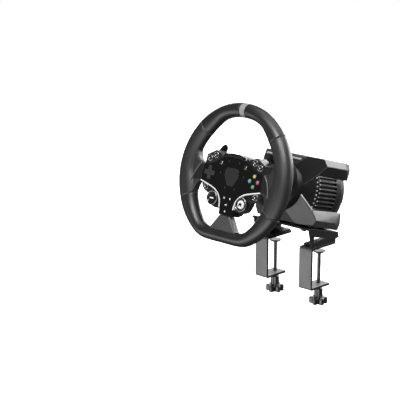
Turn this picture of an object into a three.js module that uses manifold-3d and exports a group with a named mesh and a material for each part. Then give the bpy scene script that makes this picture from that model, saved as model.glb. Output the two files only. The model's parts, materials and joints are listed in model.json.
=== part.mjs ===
// A direct-drive racing wheel: a flat-bottomed wheel with its button hub, the motor base behind it,
// and the steel bracket with two screw clamps that holds the base on a table edge.
// Millimetres, +Z up. The origin is on the table's front edge at table-top height, midway between the
// clamps. The driver sits towards -Y, and +X is the driver's right.
// Inside the tilted head group x is across, y runs rearwards along the steering axis and z is up in
// the plane of the wheel.

import * as THREE from 'three';
import { ConvexGeometry } from 'three/addons/geometries/ConvexGeometry.js';
import { mergeVertices } from 'three/addons/utils/BufferGeometryUtils.js';
import Module from 'manifold-3d';

const wasm = await Module();
wasm.setup();

// ---------- Driving dimensions ----------

const GAP = 0.3;
const HEAD_TILT = 15;
const WHEEL_CENTRE = [0, -150, 165.5];

// Rim: outside radius, distances to the flat bottom's outer and inner edges, tube depth, and the
// inside radius by angle from the top in degrees.
const RIM_RADIUS = 140;
const RIM_FLAT = 129.6;
const RIM_FLAT_INNER = 104;
const RIM_CORNER = 2.5;
const RIM_HALF_DEPTH = 13;
const GRIP_HALF_DEPTH = 15;
const RIM_INNER = [[0, 112], [24, 112], [36, 106.5], [48, 103], [74, 102], [92, 100], [107, 95.5],
  [122, 101], [140, 108], [152, 112.5], [180, 113]];
const BAND_ANGLE = 3;
const UPPER_SEAM = 48;
const LOWER_SEAM = 118;

// Stamped metal frame inside the rim and hub.
const FRAME = { front: -0.5, rear: 4.5, outerInset: 11, innerInset: 19, disc: 36, bar: 9, barHeight: -4 };

// Hub, by depth behind the wheel's middle plane.
const PANEL = { front: -7, rear: -5 };
const BOARD = { front: -2.2, rear: -0.8 };
const HOUSING = { front: PANEL.rear + GAP, rear: 20, wall: 2.5 };
const EAR = { front: -5, rear: 22 };
const POD = { front: -1.7, rear: 9 };
const BUTTON = { radius: 4, proud: 2, flange: 1, flangeThick: 1, play: 0.35 };

const MENU_BUTTON = [31, 20];
const D_PAD = { centre: [-56.5, -2.4], arm: 13.5, halfWidth: 4.5, play: 0.8 };
const FACE_BUTTONS = { centre: [56, -2.4], offset: 10 };
const EAR_BUTTONS = { inner: [50.5, 32], outer: [64.5, 24.5], radius: 4.8 };
const POD_BUTTON = { place: [64.5, -31.5], radius: 4.6 };
const KNOB = { place: [37.6, -49.5], radius: 13.5, front: -11, bore: 8.3 };
const STEM_BUTTONS = { left: [-7.5, -44], right: [7.5, -44], middle: [0, -56.5], lower: [0, -69] };
const STEM_BUTTON_RADIUS = 3.4;

// Quick release, paddles and drive shaft.
const ADAPTER = { flange: 26, neck: 20, drum: 31, drumFront: 38, drumRear: 92, socket: 21.3, socketFront: 60 };
const COLLAR = { radius: 36, front: 62, rear: 80 };
const PADDLE = { hinge: [30, 30.5], front: 29, rear: 32, knuckle: 3.2, halfKnuckle: 12, pin: 1.5, halfPin: 16.4 };
const SHAFT = { stub: 21, shoulder: 33, shoulderFront: 96, shoulderRear: 106, radius: 12, rear: 246 };

// Motor base.
const FLANGE = { radius: 56.5, front: 112, coneRear: 122, nose: 45 };
const BARREL = { radius: 82, centre: [-3.5, -7], front: 164, rear: 236, top: 46, bottom: -57, corner: 56 };
const SHELL = { half: 80, top: 60.7, rear: 258 };
const SHELL_TIP = { x: 57, y: 139.6, upper: 4, lower: -14.5 };
const BARREL_LEVELS = [28, 16, 4, -7, -18, -30, -40];
const FIN = { depth: 4, width: 4, pitch: 8.2, count: 8, top: 22, front: 166, rear: 222 };
const BORE = { bearing: 26, motor: 43, motorFront: 134 };
const STATOR = { inner: 28, outer: 42.7, front: 145, rear: 225 };
const ROTOR = { outer: 27.5, front: 148, rear: 222 };
const FRONT_BEARING = { outer: 25.7, front: 116, rear: 128 };
const REAR_BEARING = { outer: 18, front: 238.4, rear: 245.4 };
const REAR_COVER = { front: BARREL.rear + GAP, rear: 251 };
const SOCKET_RECESS = { half: 46, depth: 8, low: -40, high: -24 };
const POWER_BUTTON = { place: [40, 20], radius: 6 };

// Bracket and clamps, in the table's own directions.
const CLAMP = { x: 58, width: 32, thick: 5, bend: 6, upper: 71, lower: 54.5, drop: 83, screwY: 39 };
const SCREW = { radius: 3.8, top: -16.3, collarTop: -88, knobTop: -108, bottom: -121, collar: 8.7, knob: 18.5 };
const PAD = { radius: 12.5, top: -10, thick: 3, neck: 6.5, bottom: -16 };
const PLATE = { top: -78.3, bottom: -82.5, front: 160, rear: 258, halfWidth: 74, thick: 3.5 };

const COARSE = 16;
const MEDIUM = 32;

// ---------- Solids ----------

function solidOf(geometry) {
  const bare = geometry.clone();
  bare.deleteAttribute('normal');
  bare.deleteAttribute('uv');
  const merged = mergeVertices(bare, 1e-4);
  const index = merged.index.array;
  const triVerts = [];
  for (let i = 0; i < index.length; i += 3) {
    const [a, b, c] = [index[i], index[i + 1], index[i + 2]];
    if (a !== b && b !== c && c !== a) triVerts.push(a, b, c);
  }
  return new wasm.Manifold(new wasm.Mesh({
    numProp: 3,
    vertProperties: new Float32Array(merged.attributes.position.array),
    triVerts: new Uint32Array(triVerts),
  }));
}

function geometryOf(solid) {
  const mesh = solid.getMesh();
  const geometry = new THREE.BufferGeometry();
  geometry.setAttribute('position', new THREE.BufferAttribute(mesh.vertProperties, 3));
  geometry.setIndex(new THREE.BufferAttribute(mesh.triVerts, 1));
  return geometry;
}

function joined(...geometries) {
  return geometryOf(geometries.map(solidOf).reduce((whole, next) => whole.add(next)));
}

function cut(geometry, ...tools) {
  return geometryOf(tools.map(solidOf).reduce((whole, tool) => whole.subtract(tool), solidOf(geometry)));
}

function common(geometry, other) {
  return geometryOf(solidOf(geometry).intersect(solidOf(other)));
}

// ---------- Shape helpers ----------

function outline(points) {
  return new THREE.Shape(points.map(([x, y]) => new THREE.Vector2(x, y)));
}

// A whole outline from its right half, listed from the top round to the bottom.
function mirrored(half) {
  const left = half.filter(([x]) => x > 0).map(([x, y]) => [-x, y]).reverse();
  return [...half, ...left];
}

// A closed outline moved outwards by a distance, or inwards by a negative one.
function offset(points, distance) {
  const turn = Math.sign(THREE.ShapeUtils.area(points.map(([x, y]) => new THREE.Vector2(x, y))));
  return points.map((point, i) => {
    const before = points[(i + points.length - 1) % points.length];
    const after = points[(i + 1) % points.length];
    const inward = new THREE.Vector2(point[0] - before[0], point[1] - before[1]).normalize();
    const outward = new THREE.Vector2(after[0] - point[0], after[1] - point[1]).normalize();
    const side = new THREE.Vector2(inward.y + outward.y, -inward.x - outward.x).normalize();
    const stretch = distance * turn / Math.max(0.4, side.x * inward.y - side.y * inward.x);
    return [point[0] + side.x * stretch, point[1] + side.y * stretch];
  });
}

// A flat piece parallel to the wheel's plane, from one depth to another.
function slab(shape, front, rear, bevel = 0) {
  const geometry = new THREE.ExtrudeGeometry(shape, {
    depth: rear - front - 2 * bevel,
    bevelEnabled: bevel > 0,
    bevelThickness: bevel,
    bevelSize: bevel,
    bevelOffset: -bevel,
    bevelSegments: 1,
    curveSegments: 6,
  });
  geometry.rotateX(Math.PI / 2);
  geometry.translate(0, rear - bevel, 0);
  return geometry;
}

// A piece with its outline in the (y, z) plane, from x0 to x1.
function across(shape, x0, x1) {
  const geometry = new THREE.ExtrudeGeometry(shape, { depth: x1 - x0, bevelEnabled: false, curveSegments: 4 });
  const turn = new THREE.Matrix4().makeBasis(
    new THREE.Vector3(0, 1, 0), new THREE.Vector3(0, 0, 1), new THREE.Vector3(1, 0, 0));
  geometry.applyMatrix4(turn);
  geometry.translate(x0, 0, 0);
  return geometry;
}

function box(x0, x1, y0, y1, z0, z1) {
  const geometry = new THREE.BoxGeometry(x1 - x0, y1 - y0, z1 - z0);
  geometry.translate((x0 + x1) / 2, (y0 + y1) / 2, (z0 + z1) / 2);
  return geometry;
}

// A turned piece about the y axis through (x, z). The profile is [radius, y] with y rising outside.
function turned(profile, sides = COARSE, [x, z] = [0, 0]) {
  const geometry = new THREE.LatheGeometry(profile.map(([r, y]) => new THREE.Vector2(r, y)), sides);
  geometry.translate(x, 0, z);
  return geometry;
}

function disc(radius, front, rear, place = [0, 0], sides = COARSE) {
  return turned([[0, front], [radius, front], [radius, rear], [0, rear]], sides, place);
}

function ring(inner, outer, front, rear, sides = MEDIUM) {
  return turned([[inner, front], [outer, front], [outer, rear], [inner, rear], [inner, front]], sides);
}

// A turned piece about an upright axis through (x, y). The profile is [radius, z] with z rising outside.
function upright(profile, x, y, sides = COARSE) {
  const geometry = new THREE.LatheGeometry(profile.map(([r, z]) => new THREE.Vector2(r, z)), sides);
  geometry.rotateX(Math.PI / 2);
  geometry.translate(x, y, 0);
  return geometry;
}

function mirrorX(geometry) {
  const copy = geometry.index ? geometry.toNonIndexed() : geometry.clone();
  const position = copy.attributes.position;
  for (let i = 0; i < position.count; i += 3) {
    const corners = [i, i + 2, i + 1].map((k) => new THREE.Vector3().fromBufferAttribute(position, k));
    corners.forEach((corner, k) => position.setXYZ(i + k, -corner.x, corner.y, corner.z));
  }
  return copy;
}

const SIDES = { left: -1, right: 1 };

function onSide(geometry, sign) {
  return sign < 0 ? mirrorX(geometry) : geometry;
}

// ---------- Scene graph ----------

const object = new THREE.Group();
const table = new THREE.Group();
const head = new THREE.Group();
head.position.set(...WHEEL_CENTRE);
head.rotation.x = -THREE.MathUtils.degToRad(HEAD_TILT);
object.add(table, head);

const FINISH = {
  leather: { color: 0x1d1d1f, roughness: 0.62, metalness: 0 },
  grip: { color: 0x222224, roughness: 0.7, metalness: 0 },
  band: { color: 0x9a9a9a, roughness: 0.6, metalness: 0 },
  satin: { color: 0x3a3a3c, roughness: 0.45, metalness: 0.1 },
  gloss: { color: 0x0b0b0c, roughness: 0.15, metalness: 0 },
  matt: { color: 0x242426, roughness: 0.55, metalness: 0 },
  circuit: { color: 0x14502a, roughness: 0.5, metalness: 0 },
  bright: { color: 0xe8e8e8, roughness: 0.25, metalness: 0.3 },
  white: { color: 0xe6e6e4, roughness: 0.35, metalness: 0 },
  steel: { color: 0x8d8f92, roughness: 0.35, metalness: 0.9 },
  powder: { color: 0x2c2e2f, roughness: 0.5, metalness: 0.5 },
  copper: { color: 0xa5602e, roughness: 0.4, metalness: 0.8 },
  yellow: { color: 0xc9bf5a, roughness: 0.3, metalness: 0 },
  red: { color: 0xb8606c, roughness: 0.3, metalness: 0 },
  green: { color: 0x5f9a72, roughness: 0.3, metalness: 0 },
  teal: { color: 0x4f9a98, roughness: 0.3, metalness: 0 },
};

function add(group, name, geometry, finish) {
  const mesh = new THREE.Mesh(geometry, new THREE.MeshStandardMaterial(FINISH[finish]));
  mesh.name = name;
  group.add(mesh);
}

// ---------- Rim ----------

const innerCurve = new THREE.CubicInterpolant(RIM_INNER.map(([at]) => at), RIM_INNER.map(([, r]) => r),
  1, new Float32Array(1));

// A radius cut off by the flat bottom, by a soft minimum so that the corner is round.
function flattened(radius, flat, angle) {
  const down = -Math.cos(THREE.MathUtils.degToRad(angle));
  if (down < 0.5) return radius;
  return -RIM_CORNER * Math.log(Math.exp(-radius / RIM_CORNER) + Math.exp(-flat / down / RIM_CORNER));
}

// Angles run either way from the top, so one past the bottom is the same as one on the other side.
function rimInner(angle) {
  const turn = Math.abs(angle) > 180 ? 360 - Math.abs(angle) : Math.abs(angle);
  return flattened(innerCurve.evaluate(turn)[0], RIM_FLAT_INNER, turn);
}

function rimOuter(angle) {
  return flattened(RIM_RADIUS, RIM_FLAT, angle);
}

function rimHalfDepth(angle) {
  const turn = Math.abs(angle) > 180 ? 360 - Math.abs(angle) : Math.abs(angle);
  const rise = THREE.MathUtils.smoothstep(turn, 30, 50) - THREE.MathUtils.smoothstep(turn, 110, 135);
  return THREE.MathUtils.lerp(RIM_HALF_DEPTH, GRIP_HALF_DEPTH, rise);
}

// The rim's tube from one angle to another: a capped cylinder bent along the rim.
function rimTube(from, to, grow = 0) {
  const steps = Math.max(1, Math.round((to - from) / 5.5));
  const geometry = new THREE.CylinderGeometry(1, 1, 1, COARSE, steps);
  const position = geometry.attributes.position;
  for (let i = 0; i < position.count; i += 1) {
    const angle = THREE.MathUtils.lerp(from, to, position.getY(i) + 0.5);
    const inner = rimInner(angle) - grow;
    const outer = rimOuter(angle) + grow;
    const radius = (inner + outer) / 2 + position.getX(i) * (outer - inner) / 2;
    const depth = position.getZ(i) * (rimHalfDepth(angle) + grow);
    const turn = THREE.MathUtils.degToRad(angle);
    position.setXYZ(i, radius * Math.sin(turn), depth, radius * Math.cos(turn));
  }
  return geometry;
}

function ringOutline(inset) {
  const points = [];
  for (let angle = 0; angle < 360; angle += 7.5) {
    const radius = rimOuter(angle) - inset;
    const turn = THREE.MathUtils.degToRad(angle);
    points.push([-radius * Math.sin(turn), radius * Math.cos(turn)]);
  }
  return points;
}

// The stamped frame, or the room that it takes when it is grown by a clearance.
function frameSolid(grow = 0) {
  const front = FRAME.front - grow;
  const rear = FRAME.rear + grow;
  const hoop = outline(ringOutline(FRAME.outerInset - grow));
  hoop.holes.push(new THREE.Path(outline(ringOutline(FRAME.innerInset + grow)).getPoints()));
  const reach = RIM_RADIUS - FRAME.innerInset + 2;
  const half = FRAME.bar + grow;
  return joined(
    slab(hoop, front, rear),
    disc(FRAME.disc + grow, front, rear, [0, 0], MEDIUM),
    box(-reach, reach, front, rear, FRAME.barHeight - half, FRAME.barHeight + half),
    box(-half, half, front, rear, -RIM_FLAT + FRAME.innerInset - 2, 0),
  );
}

// The flare that runs from the hub's side into the grip.
function flare() {
  const shape = new THREE.Shape();
  shape.moveTo(77.6, 12);
  shape.quadraticCurveTo(95, 12, 98, 32);
  shape.lineTo(116, 32);
  shape.lineTo(116, -44);
  shape.lineTo(93, -44);
  shape.quadraticCurveTo(89, -20, 77.6, -20);
  shape.closePath();
  return slab(shape, -7.5, 8.5, 2);
}

function buildRim() {
  const seam = THREE.MathUtils.radToDeg(GAP / 2 / RIM_RADIUS) + 0.02;
  const frameRoom = frameSolid(GAP);
  add(head, 'wheel_frame', frameSolid(), 'steel');
  add(head, 'rim_center_band', cut(rimTube(-BAND_ANGLE + seam, BAND_ANGLE - seam), frameRoom), 'band');
  for (const [side, sign] of Object.entries(SIDES)) {
    const top = cut(rimTube(BAND_ANGLE + seam, UPPER_SEAM - seam), frameRoom);
    const grip = cut(joined(rimTube(UPPER_SEAM + seam, LOWER_SEAM - seam), flare()), frameRoom);
    add(head, `rim_top_${side}`, onSide(top, sign), 'leather');
    add(head, `rim_grip_${side}`, onSide(grip, sign), 'grip');
  }
  add(head, 'rim_bottom', cut(rimTube(LOWER_SEAM + seam, 360 - LOWER_SEAM - seam), frameRoom), 'leather');

  const cover = outline([[-14, -77.2], [14, -77.2], [42, -117], [-42, -117]]);
  const rimRoom = rimTube(LOWER_SEAM, 360 - LOWER_SEAM, GAP);
  add(head, 'bottom_spoke_cover', cut(slab(cover, -8, 9, 2.5), rimRoom, frameRoom), 'satin');
}

// ---------- Hub ----------

// The lower edge that the bright trim follows, and the panel, board and housing outlines.
const TRIM_EDGE = [[76, -19.5], [64, -22.5], [50, -26], [37, -30.5], [27, -37.5], [20.5, -46.5],
  [17.6, -56], [16.6, -66], [16.4, -75], [14.5, -76.8]];
const PANEL_OUTLINE = mirrored([[0, 34.5], [14, 34], [28, 31.5], [36, 27.5], [46, 21.5], [60, 14.5],
  [75.5, 12], [77.2, -4], ...TRIM_EDGE]);
const BODY_OUTLINE = mirrored([[0, 41.5], [16, 40.5], [29, 37.5], [38, 33], [60, 27], [75.5, 12],
  [77.2, -4], ...TRIM_EDGE]);
const EAR_OUTLINE = [[33.5, 31], [36.5, 27.9], [46.2, 21.9], [60.2, 14.9], [75.2, 12.4],
  [74, 31], [53, 42], [35, 36]];
const BACK_BLOCK = mirrored([[22, -26], [27, -40], [27, -66], [20, -74]]);

function buttonPlaces() {
  const [x, z] = FACE_BUTTONS.centre;
  const step = FACE_BUTTONS.offset;
  return {
    menu_button_left: { place: [-MENU_BUTTON[0], MENU_BUTTON[1]], finish: 'white' },
    menu_button_right: { place: MENU_BUTTON, finish: 'white' },
    face_button_top: { place: [x, z + step], finish: 'yellow' },
    face_button_right: { place: [x + step, z], finish: 'red' },
    face_button_bottom: { place: [x, z - step], finish: 'green' },
    face_button_left: { place: [x - step, z], finish: 'teal' },
    stem_button_left: { place: STEM_BUTTONS.left, finish: 'matt', radius: STEM_BUTTON_RADIUS },
    stem_button_right: { place: STEM_BUTTONS.right, finish: 'matt', radius: STEM_BUTTON_RADIUS },
    stem_button_middle: { place: STEM_BUTTONS.middle, finish: 'matt', radius: STEM_BUTTON_RADIUS },
    stem_button_lower: { place: STEM_BUTTONS.lower, finish: 'matt', radius: STEM_BUTTON_RADIUS },
  };
}

// A domed cap with a flange behind the panel that keeps it in.
function panelButton(place, radius) {
  const flangeFront = PANEL.rear + GAP;
  const flangeRear = flangeFront + BUTTON.flangeThick;
  const edge = PANEL.front - BUTTON.proud * 0.5;
  return turned([[0, PANEL.front - BUTTON.proud], [radius * 0.6, PANEL.front - BUTTON.proud * 0.88],
    [radius, edge], [radius, flangeFront], [radius + BUTTON.flange, flangeFront],
    [radius + BUTTON.flange, flangeRear], [0, flangeRear]], 12, place);
}

function crossOutline(centre, arm, half) {
  const corner = [[half, arm], [half, half], [arm, half]];
  const points = [];
  for (let quarter = 0; quarter < 4; quarter += 1) {
    const turn = -quarter * Math.PI / 2;
    for (const [x, y] of corner) {
      points.push([centre[0] + x * Math.cos(turn) - y * Math.sin(turn),
        centre[1] + x * Math.sin(turn) + y * Math.cos(turn)]);
    }
  }
  return outline(points);
}

function buildPanel() {
  const places = buttonPlaces();
  const holes = Object.values(places).map(({ place, radius = BUTTON.radius }) =>
    disc(radius + BUTTON.play, PANEL.front - 1, PANEL.rear + 1, place, 12));
  const well = slab(crossOutline(D_PAD.centre, D_PAD.arm + D_PAD.play, D_PAD.halfWidth + D_PAD.play),
    PANEL.front - 1, PANEL.rear + 1);
  const plate = slab(outline(PANEL_OUTLINE), PANEL.front, PANEL.rear, 0.4);
  add(head, 'hub_front_panel', cut(plate, well, ...holes), 'gloss');
  for (const [name, { place, finish, radius = BUTTON.radius }] of Object.entries(places)) {
    add(head, name, panelButton(place, radius), finish);
  }
  const pad = slab(crossOutline(D_PAD.centre, D_PAD.arm, D_PAD.halfWidth), -9.2, -4.4, 0.6);
  add(head, 'd_pad', pad, 'matt');
  add(head, 'd_pad_pivot', disc(3, -4.1, BOARD.front - GAP, D_PAD.centre, 12), 'steel');

  const shield = mirrored([[0, 14.5], [12.5, 14], [17, 9], [18, -1], [7.5, -20]]);
  add(head, 'badge_plate', slab(outline(shield), PANEL.front - GAP - 0.9, PANEL.front - GAP, 0.25), 'satin');

  const bar = mirrored([[0, 41.8], [14, 41], [28, 38], [30.5, 32], [27.9, 32.1], [13.9, 34.6], [0, 35.1]]);
  add(head, 'rev_light_bar', slab(outline(bar), -8.6, HOUSING.front - GAP, 0.7), 'gloss');
  add(head, 'hub_board', slab(outline(offset(PANEL_OUTLINE, -3.2)), BOARD.front, BOARD.rear), 'circuit');
}

function adapterProfile(grow = 0) {
  return [[0, FRAME.rear + GAP - grow], [ADAPTER.flange + grow, FRAME.rear + GAP - grow],
    [ADAPTER.flange + grow, 9 + grow], [ADAPTER.neck + grow, 9 + grow],
    [ADAPTER.neck + grow, ADAPTER.drumFront - grow], [ADAPTER.drum + grow, ADAPTER.drumFront - grow],
    [ADAPTER.drum + grow, ADAPTER.drumRear], [ADAPTER.socket, ADAPTER.drumRear],
    [ADAPTER.socket, ADAPTER.socketFront], [0, ADAPTER.socketFront]];
}

function buildHousing() {
  const body = cut(slab(outline(BODY_OUTLINE), HOUSING.front, HOUSING.rear, 0.8),
    slab(outline(offset(PANEL_OUTLINE, -HOUSING.wall)), HOUSING.front - 1, HOUSING.rear - HOUSING.wall));
  const pieces = [body, slab(outline(BACK_BLOCK), POD.rear + GAP, HOUSING.rear - 0.5, 1)];
  const cuts = [frameSolid(GAP), disc(ADAPTER.neck + GAP, 0, HOUSING.rear + 1, [0, 0], MEDIUM),
    disc(ADAPTER.flange + GAP, 0, 9 + GAP, [0, 0], MEDIUM)];
  for (const sign of Object.values(SIDES)) {
    pieces.push(onSide(slab(outline(EAR_OUTLINE), EAR.front, EAR.rear, 1), sign));
    for (const place of [EAR_BUTTONS.inner, EAR_BUTTONS.outer]) {
      cuts.push(disc(EAR_BUTTONS.radius + GAP, EAR.front - 1, 3, [sign * place[0], place[1]], 12));
    }
    for (const level of [-1, 1]) {
      const [near, far] = [PADDLE.halfKnuckle + GAP, PADDLE.halfPin + 0.5].map((z) => z * level);
      pieces.push(box(sign * PADDLE.hinge[0] - 4.5, sign * PADDLE.hinge[0] + 4.5,
        HOUSING.rear - 1.5, PADDLE.hinge[1] + 3.5, Math.min(near, far), Math.max(near, far)));
    }
    cuts.push(upright([[0, -PADDLE.halfPin - 2], [PADDLE.pin + GAP, -PADDLE.halfPin - 2],
      [PADDLE.pin + GAP, PADDLE.halfPin + 2], [0, PADDLE.halfPin + 2]], sign * PADDLE.hinge[0],
      PADDLE.hinge[1], 8));
  }
  add(head, 'hub_housing', cut(joined(...pieces), ...cuts), 'matt');
  add(head, 'wheel_adapter', turned(adapterProfile(), MEDIUM), 'matt');
  add(head, 'release_collar', turned([[ADAPTER.drum + GAP, COLLAR.front], [COLLAR.radius - 1.5, COLLAR.front],
    [COLLAR.radius, COLLAR.front + 2], [COLLAR.radius, COLLAR.rear - 2], [COLLAR.radius - 1.5, COLLAR.rear],
    [ADAPTER.drum + GAP, COLLAR.rear], [ADAPTER.drum + GAP, COLLAR.front]], MEDIUM), 'satin');
}

function blindHole(place, radius) {
  return disc(radius, POD.front - 1, POD.front + 6, place, COARSE);
}

function buildPods() {
  const shape = outline([[77, -15], [15, -15], [15, -64.5], [22, -66], [36, -66.5], [48, -62], [53.5, -52],
    [56.5, -42.5], [66, -39.5], [73, -36], [76.5, -29]]);
  const rearShape = outline(offset(BODY_OUTLINE, GAP));
  const bodyRoom = slab(rearShape, POD.front - 3, POD.rear + 3);
  const podSolid = cut(slab(shape, POD.front, POD.rear, 1), bodyRoom,
    blindHole(POD_BUTTON.place, POD_BUTTON.radius + GAP), blindHole(KNOB.place, 3 + GAP));
  const band = cut(slab(outline(offset(BODY_OUTLINE, 2)), PANEL.front - 0.8, POD.front - GAP, 0.3),
    slab(rearShape, PANEL.front - 2, POD.front + 2));
  const trim = common(band, box(16.9, 76.2, -10, 10, -63, -18));
  for (const [side, sign] of Object.entries(SIDES)) {
    add(head, `knob_pod_${side}`, onSide(podSolid, sign), 'matt');
    add(head, `hub_trim_${side}`, onSide(trim, sign), 'bright');
    const [x, z] = POD_BUTTON.place;
    const cap = turned([[0, POD.front - 4], [3.4, POD.front - 4], [POD_BUTTON.radius, POD.front - 3],
      [POD_BUTTON.radius, POD.front + 3], [0, POD.front + 3]], 12, [sign * x, z]);
    add(head, `pod_button_${side}`, cap, 'matt');
    for (const [row, place] of Object.entries({ inner: EAR_BUTTONS.inner, outer: EAR_BUTTONS.outer })) {
      const button = turned([[0, EAR.front - 2], [3.2, EAR.front - 2], [EAR_BUTTONS.radius, EAR.front - 1.2],
        [EAR_BUTTONS.radius, EAR.front + 5], [0, EAR.front + 5]], 12, [sign * place[0], place[1]]);
      add(head, `ear_button_${row}_${side}`, button, 'satin');
    }
  }
}

function buildKnobs() {
  const [x, z] = KNOB.place;
  const base = POD.front - GAP;
  const dial = turned([[0, KNOB.front], [10.5, KNOB.front], [KNOB.radius, KNOB.front + 1.6],
    [KNOB.radius, base], [3, base], [3, base + 4], [0, base + 4]], 24, [-x, z]);
  const rim = turned([[KNOB.bore, KNOB.front + 1], [10.5, KNOB.front], [KNOB.radius, KNOB.front + 1.6],
    [KNOB.radius, base], [KNOB.bore, base], [KNOB.bore, KNOB.front + 1]], 24, [x, z]);
  const cap = turned([[0, KNOB.front - 1], [5, KNOB.front - 0.7], [KNOB.bore - GAP, KNOB.front + 0.6],
    [KNOB.bore - GAP, base - 1.6], [0, base - 1.6]], COARSE, [x, z]);
  add(head, 'knob_left', dial, 'matt');
  add(head, 'knob_right', rim, 'matt');
  add(head, 'home_button', cap, 'white');
}

// Each blade runs out behind the ear, then up inside the rim to a fingertip pad.
const PADDLE_OUTLINE = [[30, -10.5], [60, -11], [74, -4], [81, 10], [81, 31], [76.5, 42], [71, 50],
  [65, 54.5], [60, 54.5], [55.5, 49], [57.5, 40], [73, 32], [73, 14], [67, 10.5], [30, 10.5]];

function buildPaddles() {
  const [x, y] = PADDLE.hinge;
  const knuckle = upright([[0, -PADDLE.halfPin], [PADDLE.pin, -PADDLE.halfPin],
    [PADDLE.pin, -PADDLE.halfKnuckle], [PADDLE.knuckle, -PADDLE.halfKnuckle],
    [PADDLE.knuckle, PADDLE.halfKnuckle], [PADDLE.pin, PADDLE.halfKnuckle],
    [PADDLE.pin, PADDLE.halfPin], [0, PADDLE.halfPin]], x, y, 12);
  const paddle = joined(slab(outline(PADDLE_OUTLINE), PADDLE.front, PADDLE.rear, 0.8), knuckle);
  for (const [side, sign] of Object.entries(SIDES)) {
    add(head, `paddle_${side}`, onSide(paddle, sign), 'gloss');
  }
}

// ---------- Motor base ----------

function barrelEdge(z) {
  return BARREL.centre[0] + Math.sqrt(BARREL.radius ** 2 - (z - BARREL.centre[1]) ** 2);
}

function bothSides(points) {
  return points.flatMap(([x, y, z]) => [new THREE.Vector3(x, y, z), new THREE.Vector3(-x, y, z)]);
}

// The motor's outer form: a barrel with flat top and bottom, its pointed shoulders and round flange.
function barrelSolid(rear, grow = 0) {
  const points = BARREL_LEVELS.flatMap((z) => [[barrelEdge(z) + grow, BARREL.front - grow, z],
    [barrelEdge(z) + grow, rear + grow, z]]);
  for (const z of [BARREL.top + grow, BARREL.bottom - grow]) {
    points.push([BARREL.corner + grow, BARREL.front + 14, z], [BARREL.corner + grow, rear + grow, z]);
  }
  return new ConvexGeometry(bothSides(points));
}

// The pointed shoulder on the right side, from the barrel's full side to a short upright edge in front.
function shoulderSolid(grow = 0) {
  const points = [];
  for (const z of BARREL_LEVELS) {
    const spread = Math.sign(z - BARREL.centre[1]) * grow;
    points.push([barrelEdge(z) + grow, BARREL.front + 1, z + spread], [40, BARREL.front + 1, z + spread]);
  }
  for (const z of [SHELL_TIP.upper - 0.7 + grow, SHELL_TIP.lower + 0.7 - grow]) {
    points.push([SHELL_TIP.x - 0.4 + grow, SHELL_TIP.y + 0.6 - grow, z], [40, SHELL_TIP.y + 4 - grow, z]);
  }
  return new ConvexGeometry(points.map((point) => new THREE.Vector3(...point)));
}

function flangeSolid(grow = 0) {
  return turned([[0, FLANGE.front], [FLANGE.nose + grow, FLANGE.front], [FLANGE.radius + grow, FLANGE.coneRear],
    [FLANGE.radius + grow, BARREL.front + 12], [0, BARREL.front + 12]], MEDIUM);
}

function motorForm(rear, grow = 0) {
  const shoulder = shoulderSolid(grow);
  return joined(barrelSolid(rear, grow), shoulder, mirrorX(shoulder), flangeSolid(grow));
}

function finGrooves() {
  const grooves = [];
  for (let i = 0; i < FIN.count; i += 1) {
    const z = FIN.top - i * FIN.pitch;
    const half = (FIN.pitch - FIN.width) / 2;
    const edge = barrelEdge(z);
    for (const sign of Object.values(SIDES)) {
      const [near, far] = [sign * (edge - FIN.depth), sign * (edge + 6)];
      grooves.push(box(Math.min(near, far), Math.max(near, far), FIN.front, FIN.rear, z - half, z + half));
    }
  }
  return grooves;
}

function buildMotor() {
  const bore = turned([[0, FLANGE.front - 1], [BORE.bearing, FLANGE.front - 1],
    [BORE.bearing, BORE.motorFront - 4], [BORE.motor, BORE.motorFront], [BORE.motor, BARREL.rear + 1],
    [0, BARREL.rear + 1]], MEDIUM);
  add(head, 'motor_housing', cut(motorForm(BARREL.rear), bore, ...finGrooves()), 'matt');
  add(head, 'stator', ring(STATOR.inner, STATOR.outer, STATOR.front, STATOR.rear), 'copper');
  add(head, 'rotor', ring(SHAFT.radius + GAP, ROTOR.outer, ROTOR.front, ROTOR.rear), 'steel');
  add(head, 'front_bearing', ring(SHAFT.radius + GAP, FRONT_BEARING.outer, FRONT_BEARING.front,
    FRONT_BEARING.rear), 'steel');
  add(head, 'rear_bearing', ring(SHAFT.radius + GAP, REAR_BEARING.outer, REAR_BEARING.front,
    REAR_BEARING.rear), 'steel');
  add(head, 'drive_shaft', turned([[0, ADAPTER.socketFront + GAP], [SHAFT.stub, ADAPTER.socketFront + GAP],
    [SHAFT.stub, SHAFT.shoulderFront], [SHAFT.shoulder, SHAFT.shoulderFront],
    [SHAFT.shoulder, SHAFT.shoulderRear], [SHAFT.radius, SHAFT.shoulderRear], [SHAFT.radius, SHAFT.rear],
    [0, SHAFT.rear]], MEDIUM), 'steel');
}

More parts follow.
